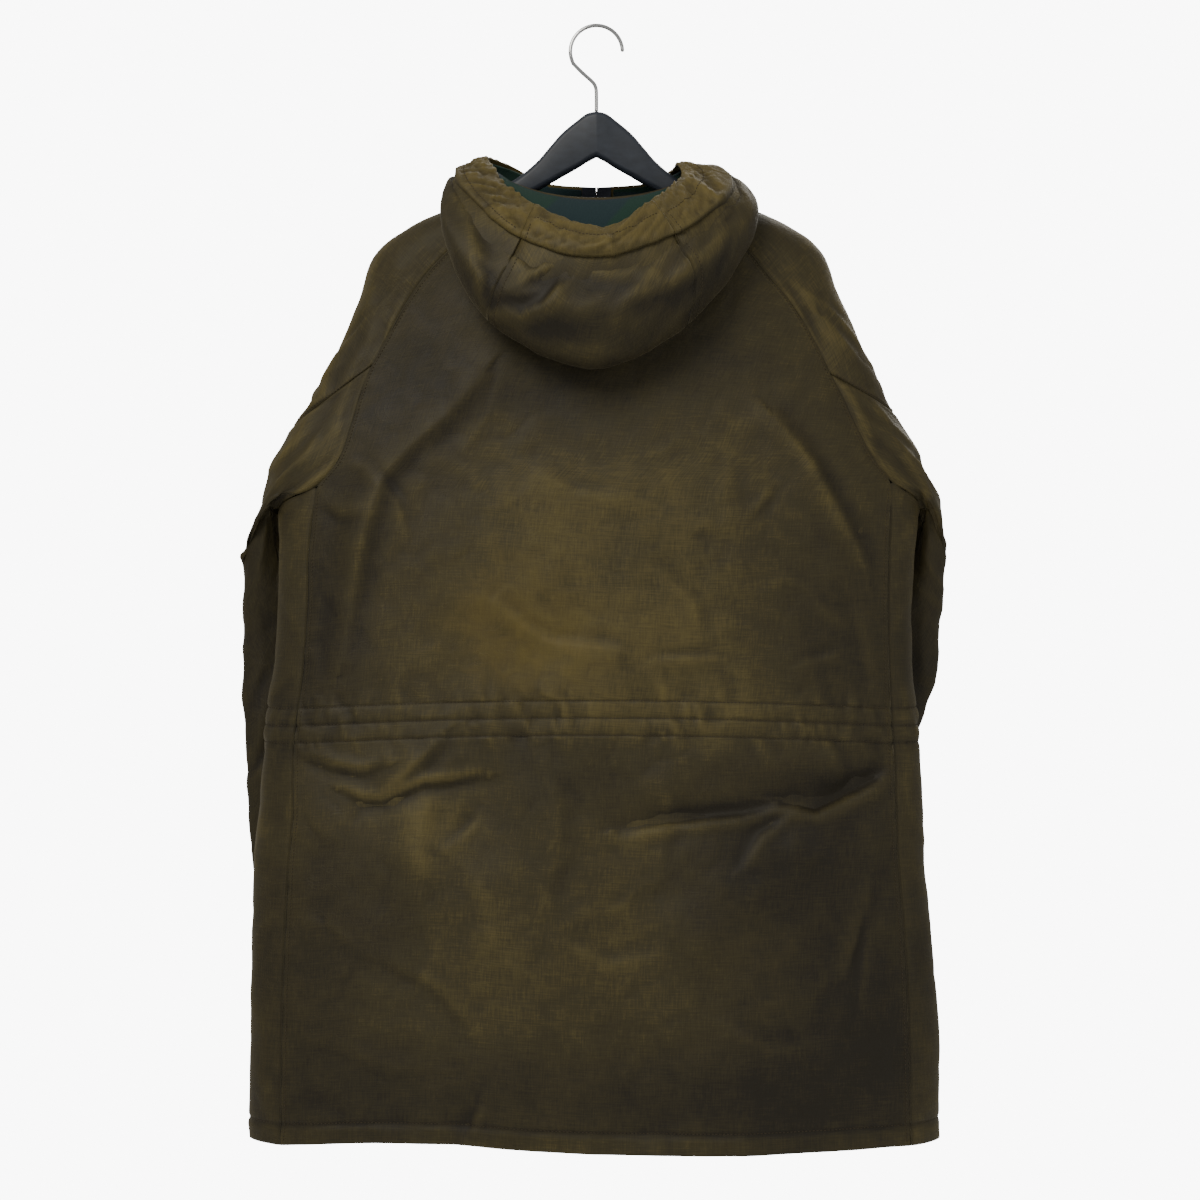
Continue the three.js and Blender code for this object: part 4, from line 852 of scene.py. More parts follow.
def front_net(side):
    table = SLEEVE_TOP[side]
    share = np.linspace(0, 1, FRONT_COLUMNS + 1)
    start = seam_turn(0, table[0], False)
    neck_turn = mix(start, turn_at(side * CENTRE_GAP, -205, False), share)
    height = np.full(FRONT_COLUMNS + 1, -190.0)
    for _ in range(12):
        across = np.abs(trunk_point(neck_turn, height)[:, 0])
        height = mix(height, lookup(NECKLINE, across)[0], 0.6)
    neck_share = np.clip((height - table[0][6]) / (-205 - table[0][6]), 0, 1)
    rows = []

    def add_row(edge_turn, edge_height, centre_height, neck=0, dip=0):
        turn = mix(edge_turn, turn_at(side * CENTRE_GAP, centre_height, False), share)
        if dip:
            part = 1 - (1 - share) ** dip
        else:
            part = mix(smooth(share * 0.6 + 0.4 * share ** 2), neck_share, neck)
        rows.append(trunk_point(turn, mix(edge_height, centre_height, part)))

    for n, level in enumerate(LEVELS):
        across = lookup(SIDE_SEAM, level)[0 if side < 0 else 1]
        edge = float(row_height(across, level))
        from_top = len(LEVELS) - 1 - n
        centre = CENTRE_LEVELS[0] if from_top == 0 else level - 38 * smooth((level + 650) / 183)
        add_row(turn_at(across, edge, True), edge, centre, 0, {0: 4, 1: 2.2}.get(from_top, 0))
    edges = [(seam_turn(k, table[k], True), table[k][1]) for k in (UNDERARM + 1, SEAM_END)]
    edges += [(seam_turn(k, table[k], False), table[k][6]) for k in range(SEAM_END - 1, -1, -1)]
    for k, (turn, height) in enumerate(edges):
        add_row(turn, height, CENTRE_LEVELS[k + 1], (k / (len(edges) - 1)) ** 2,
                4 if k == 0 else 0)
    rows = np.array(rows)
    rows[:, -1, 0] = side * CENTRE_GAP
    return rows


FRONT_CREASES = [
    (-3.5, 9, 1.8, [(230, -700), (180, -725), (120, -735), (60, -728)]),
    (2.4, 10, -1.2, [(250, -480), (225, -520), (200, -580), (190, -620)]),
    (-1.8, 7, 1.0, [(90, -700), (70, -760), (60, -830)]),
    (1.6, 9, -0.8, [(130, -300), (170, -360), (205, -410)]),
    (1.5, 12, -0.8, [(240, -840), (180, -900), (150, -990)]),
    (-1.4, 8, 0.8, [(280, -760), (240, -800), (220, -860)]),
    (1.4, 8, -0.7, [(40, -420), (90, -450), (150, -455)]),
]
for side, name in ((-1, "left"), (1, "right")):
    net, rows, columns = refine(draw_in(front_net(side), ("first",)), 3.4, 3.0)
    levels = level_of(rows)[:, None]
    x, z = net[..., 0], net[..., 2]
    run = lengths(net, 1)
    from_seam = run
    from_centre = run[:, -1:] - run
    in_front = smooth((net[..., 1] - 15) / 20)
    seed = 100 if side < 0 else 200
    rise = crease_rise(x * side, z + 14 * (side > 0), FRONT_CREASES) * in_front
    rise += crumple(run, z, 80, seed + 1) * 1.6 + crumple(run, z, 30, seed + 2) * 0.5
    rise += sharp_crumple(run, z, 64, seed + 7) * 1.0 - sharp_crumple(run, z, 38, seed + 8) * 0.6
    rise *= smooth(from_seam / 16) * smooth(from_centre / 20)
    rise += channel_rise(levels, run + 300, x, seed + 3) * smooth(from_centre / 10)
    rise += hem_rise(levels, run, seed + 4)
    rise += pinch(from_seam, 0.8, 1.8) + pinch(from_centre - FACING_STITCH, 0.6, 1.8)
    wear_and_shade = 0.05 * crumple(x, z, 60, seed + 5) - 0.06
    # Painted highlight: a lighter line just inside the trunk's side edge, along the outline seen
    # from behind
    wear_and_shade += 0.1 * np.exp(-((x * side - lookup(TRUNK, z)[1 if side > 0 else 0] * side + 2) / 4) ** 2)
    cloth, face, out = hang_cloth(f"front_cloth_{name}", net, rise, waxed, flip=side < 0,
                                  wear_and_shade=wear_and_shade)
    hide_node(cloth, f"front_{name}", (0.42, 0.90), 0.28, [f"shoulder_cloth_{name}", "back_cloth"])
    for line in CHANNEL_LINES + (HEM_LINE,):
        row = int(np.argmin(np.abs(levels[:, 0] - line)))
        sew_row(face[row, 2:-4], out[row, 2:-4])
    column = int(np.argmin(np.abs(from_centre[0] - FACING_STITCH)))
    sew_row(face[2:-6, column], out[2:-6, column])
    finish_sewing(f"front_stitches_{name}")

# Sleeves
# Raglan sleeves run up to the neck. Each is cut in two, with a shoulder piece above a cross
# seam, and hangs forward and flat from the underarm with an open cuff.
# Stations of the lower sleeve. Columns: height, outer edge, depth of the middle, half width,
# half thickness, turn in degrees, angle of the seam in degrees, tilt
SLEEVE_LOW = {-1: [
    (-522, 341, 82, 92, 35, 33, -50, 0.3), (-560, 341, 85, 97, 33, 30, -64, 0.14),
    (-600, 340.5, 85, 95, 32, 29, -75, 0.04), (-645, 340, 84, 91, 31, 29, -80, 0),
    (-690, 338, 84, 87, 31, 30, -80, 0), (-730, 336.5, 84, 84, 30, 31, -80, 0),
    (-770, 335.5, 85, 81, 28, 32, -80, 0), (-808, 331, 86, 78, 27, 33, -80, 0),
    (-842, 325, 88, 75, 26, 34, -80, 0), (-872, 317, 90, 73, 24, 34, -80, 0),
    (-892, 312, 92, 72, 24, 34, -80, 0),
], 1: [
    (-522, 333, 82, 91, 35, 34, -50, 0.3), (-560, 330, 85, 94, 33, 31, -64, 0.14),
    (-600, 328.5, 86, 93, 32, 30, -75, 0.04), (-640, 320, 86, 90, 31, 31, -80, 0),
    (-680, 308, 87, 87, 31, 33, -80, 0), (-722, 298, 89, 84, 30, 34, -80, 0),
    (-764, 291, 91, 81, 28, 35, -80, 0), (-803, 286, 93, 78, 27, 36, -80, 0),
    (-838, 281, 95, 75, 26, 36, -80, 0), (-868, 277, 97, 73, 24, 36, -80, 0),
    (-888, 275, 98, 72, 24, 36, -80, 0),
]}

# Around the sleeve. Columns: share of each quarter on the shoulder, angle on the lower sleeve,
# turn from the front seam and stand-off where the cloth lies along the chest
AROUND = [
    (0, -80, 0, 0), (0.3, -58, 0, 0), (0.56, -36, 0, 0), (0.8, -14, 0, 0), (1, 8, 0, 0),
    (1.2, 40, 0, 0), (1.38, 78, 0, 0), (1.53, 118, 0, 0), (1.66, 156, 0, 0),
    (1.76, 188, 0, 0), (1.84, 214, 0.62, 14), (1.9, 238, 0.32, 12), (1.96, 260, 0, 15),
    (2, 280, 0, 0),
]


def stand_clear(point, distance):
    """Moves a point out until it stands clear of the trunk."""
    for _ in range(3):
        left, right, back, front, edge = lookup(TRUNK, point[2])
        middle, half = (left + right) / 2, (right - left) / 2
        depth = front - edge if point[1] > edge else edge - back
        x, y = (point[0] - middle) / half, (point[1] - edge) / depth
        size = (abs(x) ** ROUNDNESS + abs(y) ** ROUNDNESS) ** (1 / ROUNDNESS)
        gx = math.copysign((abs(x) / size) ** (ROUNDNESS - 1) / half, x)
        gy = math.copysign((abs(y) / size) ** (ROUNDNESS - 1) / depth, y)
        slope = math.hypot(gx, gy)
        away = (size - 1) / slope
        if away < distance:
            point[0] += gx / slope * (distance - away)
            point[1] += gy / slope * (distance - away)
    return point


def low_ring(row, height, outer, degrees, side):
    _, _, depth, half, thick, turn_degrees, seam_degrees, tilt = row
    turn = math.radians(turn_degrees)
    reach = math.hypot(half * math.cos(turn), thick * math.sin(turn))
    angle = math.radians(degrees + 80 + seam_degrees)
    a, b = half * math.cos(angle), thick * math.sin(angle)
    return np.array([side * (outer - reach + a * math.cos(turn) + b * math.sin(turn)),
                     depth - a * math.sin(turn) + b * math.cos(turn), height - a * tilt])


def sleeve_net(side):
    top, low = SLEEVE_TOP[side], SLEEVE_LOW[side]
    lines = []
    for station, row in enumerate(top):
        back_end, front_end = seam_point(station, row, True), seam_point(station, row, False)
        ridge = np.array(row[2:5], float)
        line = []
        for share, degrees, turn_off, stand_off in AROUND:
            on_front = share > 1
            start = front_end if on_front else back_end
            angle = (2 - share if on_front else share) * math.pi / 2
            centre = np.array([start[0], ridge[1], start[2]])
            up = math.sin(angle) ** (2 / 2.2)
            out = max(math.cos(angle), 0) ** (2 / 2.2)
            point = centre + (start - centre) * out + (ridge - centre) * up
            if on_front and station > CROSS_SEAM and share < 2:
                part = (station - CROSS_SEAM) / (SEAM_END - CROSS_SEAM)
                if stand_off > 0:
                    off = stand_off * min(1, part * 1.5)
                    turned = turn_off * part ** 2.2
                    turn = seam_turn(station, row, False) - side * turned
                    height = (row[1] if station == SEAM_END else row[6]) + 4 - 22 * turned
                    along = trunk_point(turn, height) + trunk_normal(turn, height) * off
                    point = mix(point, along, smooth(part * 2))
                else:
                    first = list(low[0])
                    first[2] -= 8 + 8 * (SEAM_END - station)
                    first[3] -= 16 + 8.5 * (SEAM_END - station)
                    target = low_ring(first, row[4] + 6, abs(row[2]), degrees, side)
                    point = mix(point, target, smooth(part * 1.1) * smooth((share - 1) / 0.3))
            if not on_front and station > CROSS_SEAM:
                late = start[2] + (ridge[2] - start[2]) * up ** 2.2
                point[2] = mix(point[2], late, smooth((station - CROSS_SEAM) / 4))
                puff = 8 * (1 - share) if share > 0 else 0
                point[2] += puff * smooth((station - UNDERARM + 2) / 3)
            if station > UNDERARM - 2 and 0 < share < 2:
                stand_clear(point, 3.6 if share < 0.4 or share > 1.95 else 5)
            line.append(point)
        if station > UNDERARM:
            line[0][2] += 1.5
            line[-1][2] += 1.5
        lines.append(np.array(line))
    first = np.array([low_ring(low[0], low[0][0], low[0][1], row[1], side) for row in AROUND])
    knee = np.array([stand_clear(mix(p, q, 0.45), 12) for p, q in zip(lines[SEAM_END], first)])
    fold = np.array([stand_clear(mix(p, q, 0.15), 8) for p, q in zip(lines[SEAM_END], knee)])
    armpit = seam_point(SEAM_END, top[SEAM_END], True)
    fold[0] = fold[-1] = armpit + trunk_normal(math.copysign(math.pi / 2, side), armpit[2]) * 8
    fold[[0, -1], 2] += 2
    lines += [fold, knee]
    for row in low:
        lines.append(np.array([stand_clear(low_ring(row, row[0], row[1], a[1], side), 6)
                               for a in AROUND]))
    return np.array(lines)


CUFF_STITCH = 32

# Creases round each sleeve. Columns: rise, width, lip, points round (share) and along (mm)
SLEEVE_CREASES = [
    (-3.2, 7, 1.8, [(70, 70), (120, 90), (170, 84)]),
    (-2.6, 6, 1.5, [(60, 120), (110, 142), (165, 150)]),
    (2.2, 9, -1.0, [(50, 30), (90, 48), (140, 40)]),
    (-2.2, 8, 1.2, [(120, 210), (170, 232), (230, 226)]),
    (1.9, 10, -0.8, [(60, 260), (110, 300), (130, 360)]),
    (-1.8, 7, 1.0, [(230, 120), (280, 150), (330, 150)]),
    (-1.7, 8, 0.9, [(30, 330), (80, 352), (140, 350)]),
    (1.6, 9, -0.8, [(200, 380), (240, 420), (250, 480)]),
    (-1.6, 7, 0.8, [(90, 430), (150, 446), (210, 436)]),
]

# Folds of the arm as seen from behind. Columns: rise, width, lip, points across and height
ARM_CREASES = {-1: [
    (3.4, 7, -2.2, [(-208, -240), (-214, -266), (-232, -286), (-253, -331), (-256, -348),
                    (-273, -377), (-290, -406), (-317, -450)]),
    (-3.4, 6, 1.8, [(-243, -409), (-270, -428), (-296, -448), (-308, -462)]),
    (2.2, 5, -1.4, [(-262, -392), (-276, -412), (-296, -430), (-322, -452)]),
    (-1.8, 5, 1.0, [(-180, -250), (-196, -282), (-206, -316)]),
    (1.6, 6, -0.9, [(-226, -330), (-238, -360), (-242, -392)]),
    (-1.5, 5, 0.9, [(-288, -372), (-302, -402), (-322, -428)]),
], 1: [
    (3.0, 6, -2.0, [(214, -282), (226, -297), (246, -319), (260, -331)]),
    (2.8, 6, -1.8, [(258, -352), (265, -363), (277, -380), (294, -397), (312, -446)]),
    (-3.0, 5, 1.6, [(262, -396), (280, -410), (304, -440), (318, -470)]),
    (-1.8, 5, 1.0, [(176, -244), (196, -276), (214, -312)]),
    (1.6, 6, -0.9, [(232, -342), (248, -372), (256, -398)]),
    (-1.6, 5, 0.9, [(280, -356), (300, -386), (320, -420)]),
]}
for side, name in ((-1, "left"), (1, "right")):
    whole = draw_in(sleeve_net(side), ("first", "last"))
    seed = 300 if side < 0 else 400
    for part, first, last, node in (("shoulder", 0, CROSS_SEAM, f"shoulder_{name}"),
                                    ("sleeve", CROSS_SEAM, len(whole) - 1, f"sleeve_{name}")):
        cut = whole[first:last + 1].copy()
        if part == "shoulder":
            step = cut[-2] - cut[-1]
            cut[-1] += 0.25 * step / np.linalg.norm(step, axis=1, keepdims=True)
        else:
            step = cut[1] - cut[0]
            cut[0] += 0.25 * step / np.linalg.norm(step, axis=1, keepdims=True)
        net, rows, columns = refine(cut, 2.6 if part == "sleeve" else 2.2)
        run, down = lengths(net, 1), lengths(net, 0)
        from_seam = np.minimum(run, run[:, -1:] - run)
        if part == "shoulder":
            from_cross = down[-1:] - down
            rise = crumple(run + 40, down, 45, seed) * 1.3 + crumple(run, down, 20, seed + 1) * 0.5
            rise += crease_rise(run, from_cross, [
                (2.2, 7, -1.2, [(30, 96), (60, 70), (74, 30), (70, 6)]),
                (-1.8, 6, 1.2, [(60, 44), (90, 30), (124, 34)]),
                (1.4, 8, -0.7, [(90, 120), (110, 90), (112, 60)])])
        else:
            from_cross = down
            from_cuff = down[-1:] - down
            rise = crumple(run, down, 62, seed + 2) * 2.0 + crumple(run, down, 26, seed + 3) * 0.6
            rise += sharp_crumple(run, down, 58, seed + 8) * 1.1
            rise -= sharp_crumple(run, down, 34, seed + 9) * 0.5
            rise += crease_rise(run, down, SLEEVE_CREASES)
            rise += pinch(from_cuff - CUFF_STITCH, 0.9, 2.2)
            cuff_twist = lattice(run / 14 + from_cuff / 26, from_cuff / 30, seed + 4)
            rise += smooth((34 - from_cuff) / 6) * (0.5 + 0.5 * cuff_twist)
        on_back = smooth(1.25 - run / (0.55 * run[:, -1:]))
        rise += on_back * crease_rise(net[..., 0], net[..., 2], ARM_CREASES[side])
        rise *= smooth(from_seam / 10) * smooth(from_cross / 8)
        rise += pinch(from_seam, 0.9, 1.7) + pinch(from_cross, 0.9, 1.7)
        rise += 0.25 * np.exp(-((from_seam - 2.8) / 1.6) ** 2)
        rise += 0.4 * lattice(down / 11, run / 20, seed + 6) * np.exp(-(from_seam / 12) ** 2)
        wear_and_shade = 0.04 + 0.06 * crumple(run, down, 50, seed + 7)
        # Painted highlight: a faint lighter line beside each seam, on its raised edge
        wear_and_shade += 0.03 * np.exp(-((from_seam - 3) / 3.5) ** 2)
        # Painted shade: the sleeves grow darker below the underarm
        wear_and_shade -= 0.16 * smooth((-430 - net[..., 2]) / 80)
        # Painted highlight along the sleeve's top fold: lighter, and golden on the shoulder piece,
        # where it catches the light
        ridge = np.exp(-((run / run[:, -1:] - 0.44) / 0.1) ** 2)
        wear_and_shade += ridge * (0.16 if part == "shoulder" else 0.1)
        cloth, face, out = hang_cloth(f"{part}_cloth_{name}", net, rise, waxed,
                                      flip=side > 0, wear_and_shade=wear_and_shade,
                                      gold_stain_and_highlight=0.35 * ridge * (part == "shoulder"))
        if part == "shoulder":
            hide_node(cloth, node, (0.22, 0.30), 0.039, ["hanger"])
            sew_row(face[-3, 2:-2], out[-3, 2:-2])
        else:
            hide_node(cloth, node, (0.44, 0.57), 0.19, [f"shoulder_cloth_{name}"])
            row = int(np.argmin(np.abs((down[-1:] - down)[:, 60] - CUFF_STITCH)))
            sew_row(face[row, 2:-2], out[row, 2:-2])
    finish_sewing(f"sleeve_stitches_{name}")

# Hood
# Three panels of waxed cotton, a gathered casing round the face opening, and a brushed lining.
# It is thrown back and hangs down behind the neck as an open pouch.
# One row a station, from the left front round the neck to the right. Columns: neck, inner
# layer, bottom, belly, under the band, band, rim
HOOD = [
    [(-3.6, 54, -204.4), (-3.6, 55, -194), (-3.6, 56, -184), (-3.6, 57, -174),
     (-3.6, 57.5, -163), (-3.6, 58, -152), (-3.6, 58, -142)],
    [(-47, 45, -186.5), (-48, 46.5, -179), (-49, 48, -172), (-49.5, 49, -164),
     (-49.5, 50, -156), (-49, 51, -148), (-47.5, 51, -140)],
    [(-87.5, 28.5, -145.4), (-89.8, 28.5, -143.8), (-91.5, 29, -141.5), (-91.5, 29.5, -139),
     (-89.5, 30.5, -135.5), (-85, 32, -131.5), (-78, 34, -128)],
    [(-91.5, 0, -143), (-106, -2, -149), (-122, -6, -156), (-128, -9, -149),
     (-124, -8, -140), (-115, -4, -130), (-103, 0, -124)],
    [(-89, -25, -145.5), (-112, -34, -160), (-134, -44, -180), (-141, -46, -165),
     (-134, -44, -154), (-121, -38, -143), (-99, -22, -134)],
    [(-77, -50.5, -156.5), (-104, -62, -190), (-132, -70, -222), (-137, -86, -202),
     (-116, -74, -181), (-106, -78, -170), (-86, -48, -155)],
    [(-45, -56.5, -167), (-70, -68, -228), (-95, -80, -287), (-92, -110, -262),
     (-70, -105, -222), (-66, -110, -208), (-56, -76, -181)],
    [(0, -58, -171.5), (-2, -67, -250), (-3, -87, -330.5), (-2, -126, -288),
     (0, -120, -242), (2, -130, -226), (3, -107, -207)],
    [(45, -56.5, -167), (62, -68, -230), (80, -82, -291), (88, -112, -254),
     (72, -110, -219), (66, -112, -204), (50, -82, -179)],
    [(77, -50.5, -156.5), (104, -60, -192), (132, -66, -226), (140, -80, -200),
     (116, -84, -187), (103, -80, -174), (75, -50, -155)],
    [(89, -25, -145.5), (115, -34, -161), (142, -44, -186), (148, -46, -172),
     (132, -54, -165), (112, -42, -149), (80, -24, -142)],
    [(91.5, 0, -143), (106, -2, -149), (124, -8, -156), (130, -10, -148),
     (118, -10, -140), (100, -6, -133), (76, 0, -130)],
    [(87.5, 28.5, -145.5), (89.8, 28.5, -144), (91.3, 29, -141.8), (90.8, 29.5, -139.3),
     (87.5, 30.5, -136.5), (81, 32, -133.5), (71, 33, -131)],
    [(47, 45, -186.5), (48, 46.5, -179), (49, 48, -172), (49, 49, -164),
     (49, 50, -156), (48, 51, -148), (46, 51, -140)],
    [(3.6, 54, -204.4), (3.6, 55, -194), (3.6, 56, -184), (3.6, 57, -174),
     (3.6, 57.5, -163), (3.6, 58, -152), (3.6, 58, -142)],
]
LEFT_SEAM, RIGHT_SEAM = 6, 8
BAND_STITCH = 17

# Folds of the hood's outer side. Columns: rise, width, lip, points across and height
HOOD_CREASES = [
    (4.6, 5, -2.6, [(-88, -280), (-66, -285), (-46, -279), (-31, -263)]),
    (-4.2, 3.5, 1.6, [(-62, -258), (-46, -252), (-34, -246)]),
    (-3.0, 4, 1.4, [(-99, -268), (-98, -250), (-106, -236)]),
    (2.2, 3, -1.8, [(-76, -232), (-68, -238), (-58, -246)]),
    (-2.0, 3, 1.2, [(-70, -228), (-60, -234), (-50, -240)]),
    (-2.2, 4, 1.3, [(-76, -198), (-62, -206), (-46, -215), (-30, -220)]),
    (1.8, 4, -1.0, [(-56, -190), (-52, -200), (-47, -210)]),
    (1.5, 4, -0.9, [(6, -214), (12, -222), (14, -231)]),
    (-1.8, 4, 1.0, [(82, -160), (94, -170), (110, -184)]),
    (1.6, 4, -0.8, [(90, -156), (100, -166), (116, -176)]),
    (2.6, 8, -1.6, [(-118, -196), (-112, -220), (-100, -244)]),
    (-2.0, 7, 1.2, [(-20, -252), (10, -262), (44, -258)]),
    (2.4, 9, -1.4, [(112, -206), (96, -232), (70, -256)]),
    (-2.2, 7, 1.2, [(124, -188), (104, -216), (84, -234)]),
    (1.8, 9, -0.9, [(-70, -300), (-30, -314), (20, -316)]),
    (-1.6, 7, 0.9, [(20, -282), (50, -276), (80, -262)]),
    (1.6, 6, -1.0, [(-122, -176), (-108, -186), (-92, -204)]),
]
LINING = 1.4
hood_table = np.array(HOOD, float).transpose(1, 0, 2)
hood_net, hood_rows, hood_columns = refine(hood_table, 2.1)
across_hood = np.broadcast_to(hood_columns[None, :], hood_net.shape[:2])
up_hood = np.broadcast_to(hood_rows[:, None], hood_net.shape[:2])
run, down = lengths(hood_net, 1), lengths(hood_net, 0)
from_rim = down[-1:] - down
band = smooth((up_hood - 4.4) / 0.5)
gathers = lattice(run / 8.5, from_rim / 30, 501) + 0.5 * lattice(run / 4.5, from_rim / 14, 502)
drawn = (0.35 + 0.9 * np.exp(-((across_hood - 5.3) / 0.9) ** 2)
         + 0.9 * np.exp(-((across_hood - 9.2) / 1.0) ** 2))
hood_rise = band * gathers * drawn * 1.7
hood_rise -= 3.4 * np.exp(-((up_hood - 4.1) / 0.17) ** 2)
hood_rise += 2.6 * np.exp(-((up_hood - 4.48) / 0.2) ** 2)
outer_wall = smooth((up_hood - 2.1) / 0.3)
hood_rise += 1.3 * outer_wall * crease_rise(hood_net[..., 0], hood_net[..., 2], HOOD_CREASES)
hood_rise += crumple(run, down, 60, 503) * 1.6 * (1 - band) + crumple(run, down, 24, 504) * 0.5
hood_rise += band * (sharp_crumple(run, down, 17, 507) * 1.5 - sharp_crumple(run, down, 12, 508))
hood_rise += (1 - band) * sharp_crumple(run, down, 50, 509) * 1.2
hood_rise += pinch(from_rim - BAND_STITCH, 0.8, 1.8)
hood_rise += 1.2 * band * np.exp(-((from_rim - 9) / 6) ** 2)
for seam in (LEFT_SEAM, RIGHT_SEAM):
    column = int(np.argmin(np.abs(hood_columns - seam)))
    away = run - run[:, column:column + 1]
    below = 1 - band
    hood_rise += below * (pinch(away, 0.4, 1.4) + pinch(away - 5, 0.3, 1.1))
    hood_rise += 0.8 * lattice(down / 9, away / 18, 505 + seam) * np.exp(-(away / 14) ** 2)
# Painted highlight: the band is lighter and golder, as it faces up towards the light
hood_wear_and_shade = -0.06 + 0.34 * band + 0.05 * crumple(run, down, 40, 506)
# Painted shade on the low part of the hood
hood_wear_and_shade -= 0.16 * np.exp(-((up_hood - 2.3) / 0.6) ** 2)
# Paler right at the rim's edge
hood_wear_and_shade += 0.2 * np.exp(-(from_rim / 2.2) ** 2)
hood_band_highlight = 0.5 * band
HOOD_CUT = {"left": ((0.26, 0.25), 0.034), "centre": ((0.19, 0.42), 0.05),
            "right": ((0.26, 0.25), 0.036)}
for name, first, last in (("left", 0, LEFT_SEAM), ("centre", LEFT_SEAM, RIGHT_SEAM),
                          ("right", RIGHT_SEAM, len(HOOD) - 1)):
    a = int(np.argmin(np.abs(hood_columns - first)))
    b = int(np.argmin(np.abs(hood_columns - last)))
    part = slice(a, b + 1)
    sides = [side for side, ends in (("first", first > 0), ("last", last < len(HOOD) - 1)) if ends]
    net = draw_in(hood_net[:, part], sides, 0.05)
    cloth, face, out = hang_cloth(f"hood_cloth_{name}", net, hood_rise[:, part], waxed,
                                  wear_and_shade=hood_wear_and_shade[:, part], gold_stain_and_highlight=hood_band_highlight[:, part])
    hide_node(cloth, f"hood_{name}", *HOOD_CUT[name], ["back_cloth", "hanger"])
    row = int(np.argmin(np.abs(from_rim[:, (a + b) // 2] - BAND_STITCH)))
    sew_row(face[row, 2:-2], out[row, 2:-2])
    if name != "left":
        sew_row(face[3:-8, 3], out[3:-8, 3])
finish_sewing("hood_stitches")

# Neck binding
# The seam between the hood and the jacket is bound with a narrow strip of the same cloth,
# rolled over the raw edges and sewn down.
BINDING = 2.5
BINDING_DROP = 2.4


def skin(rings):
    """Points and faces of a closed skin over rings that have as many points each."""
    points = [p for ring in rings for p in ring]
    count = len(rings[0])
    faces = []
    for i in range(len(rings) - 1):
        for j in range(count):
            a, b = i * count + j, i * count + (j + 1) % count
            faces.append([a, b, b + count, a + count])
    faces.append(list(range(count))[::-1])
    faces.append(list(range((len(rings) - 1) * count, len(rings) * count)))
    return points, faces


neck_line = hood_table[0, 1:-1] - (0, 0, BINDING_DROP)
stops = spread(neck_line[:, None], 0, 2.5)
neck_line = curve_weights(len(neck_line), stops) @ neck_line
ahead = np.gradient(neck_line, axis=0)
ahead /= np.linalg.norm(ahead, axis=1, keepdims=True)
beside = np.cross(ahead, (0, 0, 1))
beside /= np.linalg.norm(beside, axis=1, keepdims=True)
above = np.cross(beside, ahead)
turn = np.linspace(0, math.tau, 12, endpoint=False)[None, :, None]
lumps = 1 + 0.08 * lattice(stops * 3, 0 * stops, 520)[:, None, None]
rings = neck_line[:, None] + BINDING * lumps * (
    beside[:, None] * np.cos(turn) + above[:, None] * np.sin(turn))
binding = add_piece("neck_binding", *skin(rings.tolist()), waxed)
along = lengths(rings, 0)
mark_points(binding, "place", np.stack([along, along * 0 + np.arange(12) * 1.3, along * 0], -1)
            / 1000)
mark_points(binding, "wear_and_shade", along * 0 + 0.42)
mark_points(binding, "gold_stain_and_highlight", along * 0)

# Hood lining
# Brushed cotton in broad blocks of dark green and navy, sewn inside the hood and the collar.
# It is cut a little short of the outer cloth's edges.
lining_material, lining_tree = start_material("lining")
lining_place = add_node(lining_tree, "ShaderNodeAttribute", attribute_name="place")
parts = add_node(lining_tree, "ShaderNodeSeparateXYZ", {0: lining_place.outputs["Vector"]})
bands = []
for axis, width, shift in ((0, 0.066, 0.4), (1, 0.054, 1.0)):
    place = calculate(lining_tree, "DIVIDE", parts.outputs[axis], width)
    turns = calculate(lining_tree, "MULTIPLY_ADD", place, math.pi, shift * math.pi)
    wave = calculate(lining_tree, "SINE", turns)
    bands.append(add_node(lining_tree, "ShaderNodeMapRange", {
        "Value": wave, "From Min": -0.12, "From Max": 0.12}).outputs[0])
twill = place_group(lining_tree, weave, Place=lining_place.outputs["Vector"], Pitch=0.0014)
blocks = calculate(lining_tree, "MULTIPLY", calculate(lining_tree, "ADD", *bands), 0.5)
tone = add_node(lining_tree, "ShaderNodeValToRGB", {0: blocks})
tone.color_ramp.elements[0].color = srgb(10, 50, 38)
tone.color_ramp.elements[1].color = srgb(27, 36, 54)
tone.color_ramp.elements.new(0.5).color = srgb(14, 40, 46)
nap = add_node(lining_tree, "ShaderNodeTexNoise", {"Scale": 380.0, "Detail": 4.0})
fleck = add_node(lining_tree, "ShaderNodeMix", {
    0: calculate(lining_tree, "MULTIPLY", nap.outputs["Fac"], 0.16), 6: tone.outputs[0],
    7: srgb(60, 84, 86)}, data_type="RGBA")
fuzz = calculate(lining_tree, "MULTIPLY_ADD", nap.outputs["Fac"], 0.8, twill.outputs["Height"])
lining_bump = add_node(lining_tree, "ShaderNodeBump", {
    "Height": fuzz, "Strength": 0.4, "Distance": 0.0004})
finish_material(lining_tree, Base_Color=fleck.outputs[2], Roughness=0.95, Sheen_Weight=0.06,
                Normal=lining_bump.outputs[0])

lining_net = hood_net - net_normals(hood_net) * (CLOTH / 2 + 1.1 + LINING / 2)
low_row = int(np.argmin(np.abs(hood_rows - 0.08)))
high_row = int(np.argmin(np.abs(hood_rows - 5.5)))
left_end = int(np.argmin(np.abs(hood_columns - 0.3)))
right_end = int(np.argmin(np.abs(hood_columns - 13.67)))
lining_net = lining_net[low_row:high_row + 1:2, left_end:right_end + 1:2]
run, down = lengths(lining_net, 1), lengths(lining_net, 0)
lining_rise = -(0.5 + 0.5 * crumple(run, down, 42, 601)) * 0.8
lining, _, _ = hang_cloth("hood_lining_cloth", lining_net, lining_rise, lining_material,
                          wall=LINING)
hide_node(lining, "hood_lining", (0.62, 0.26), 0.095, ["hood_cloth_centre"])

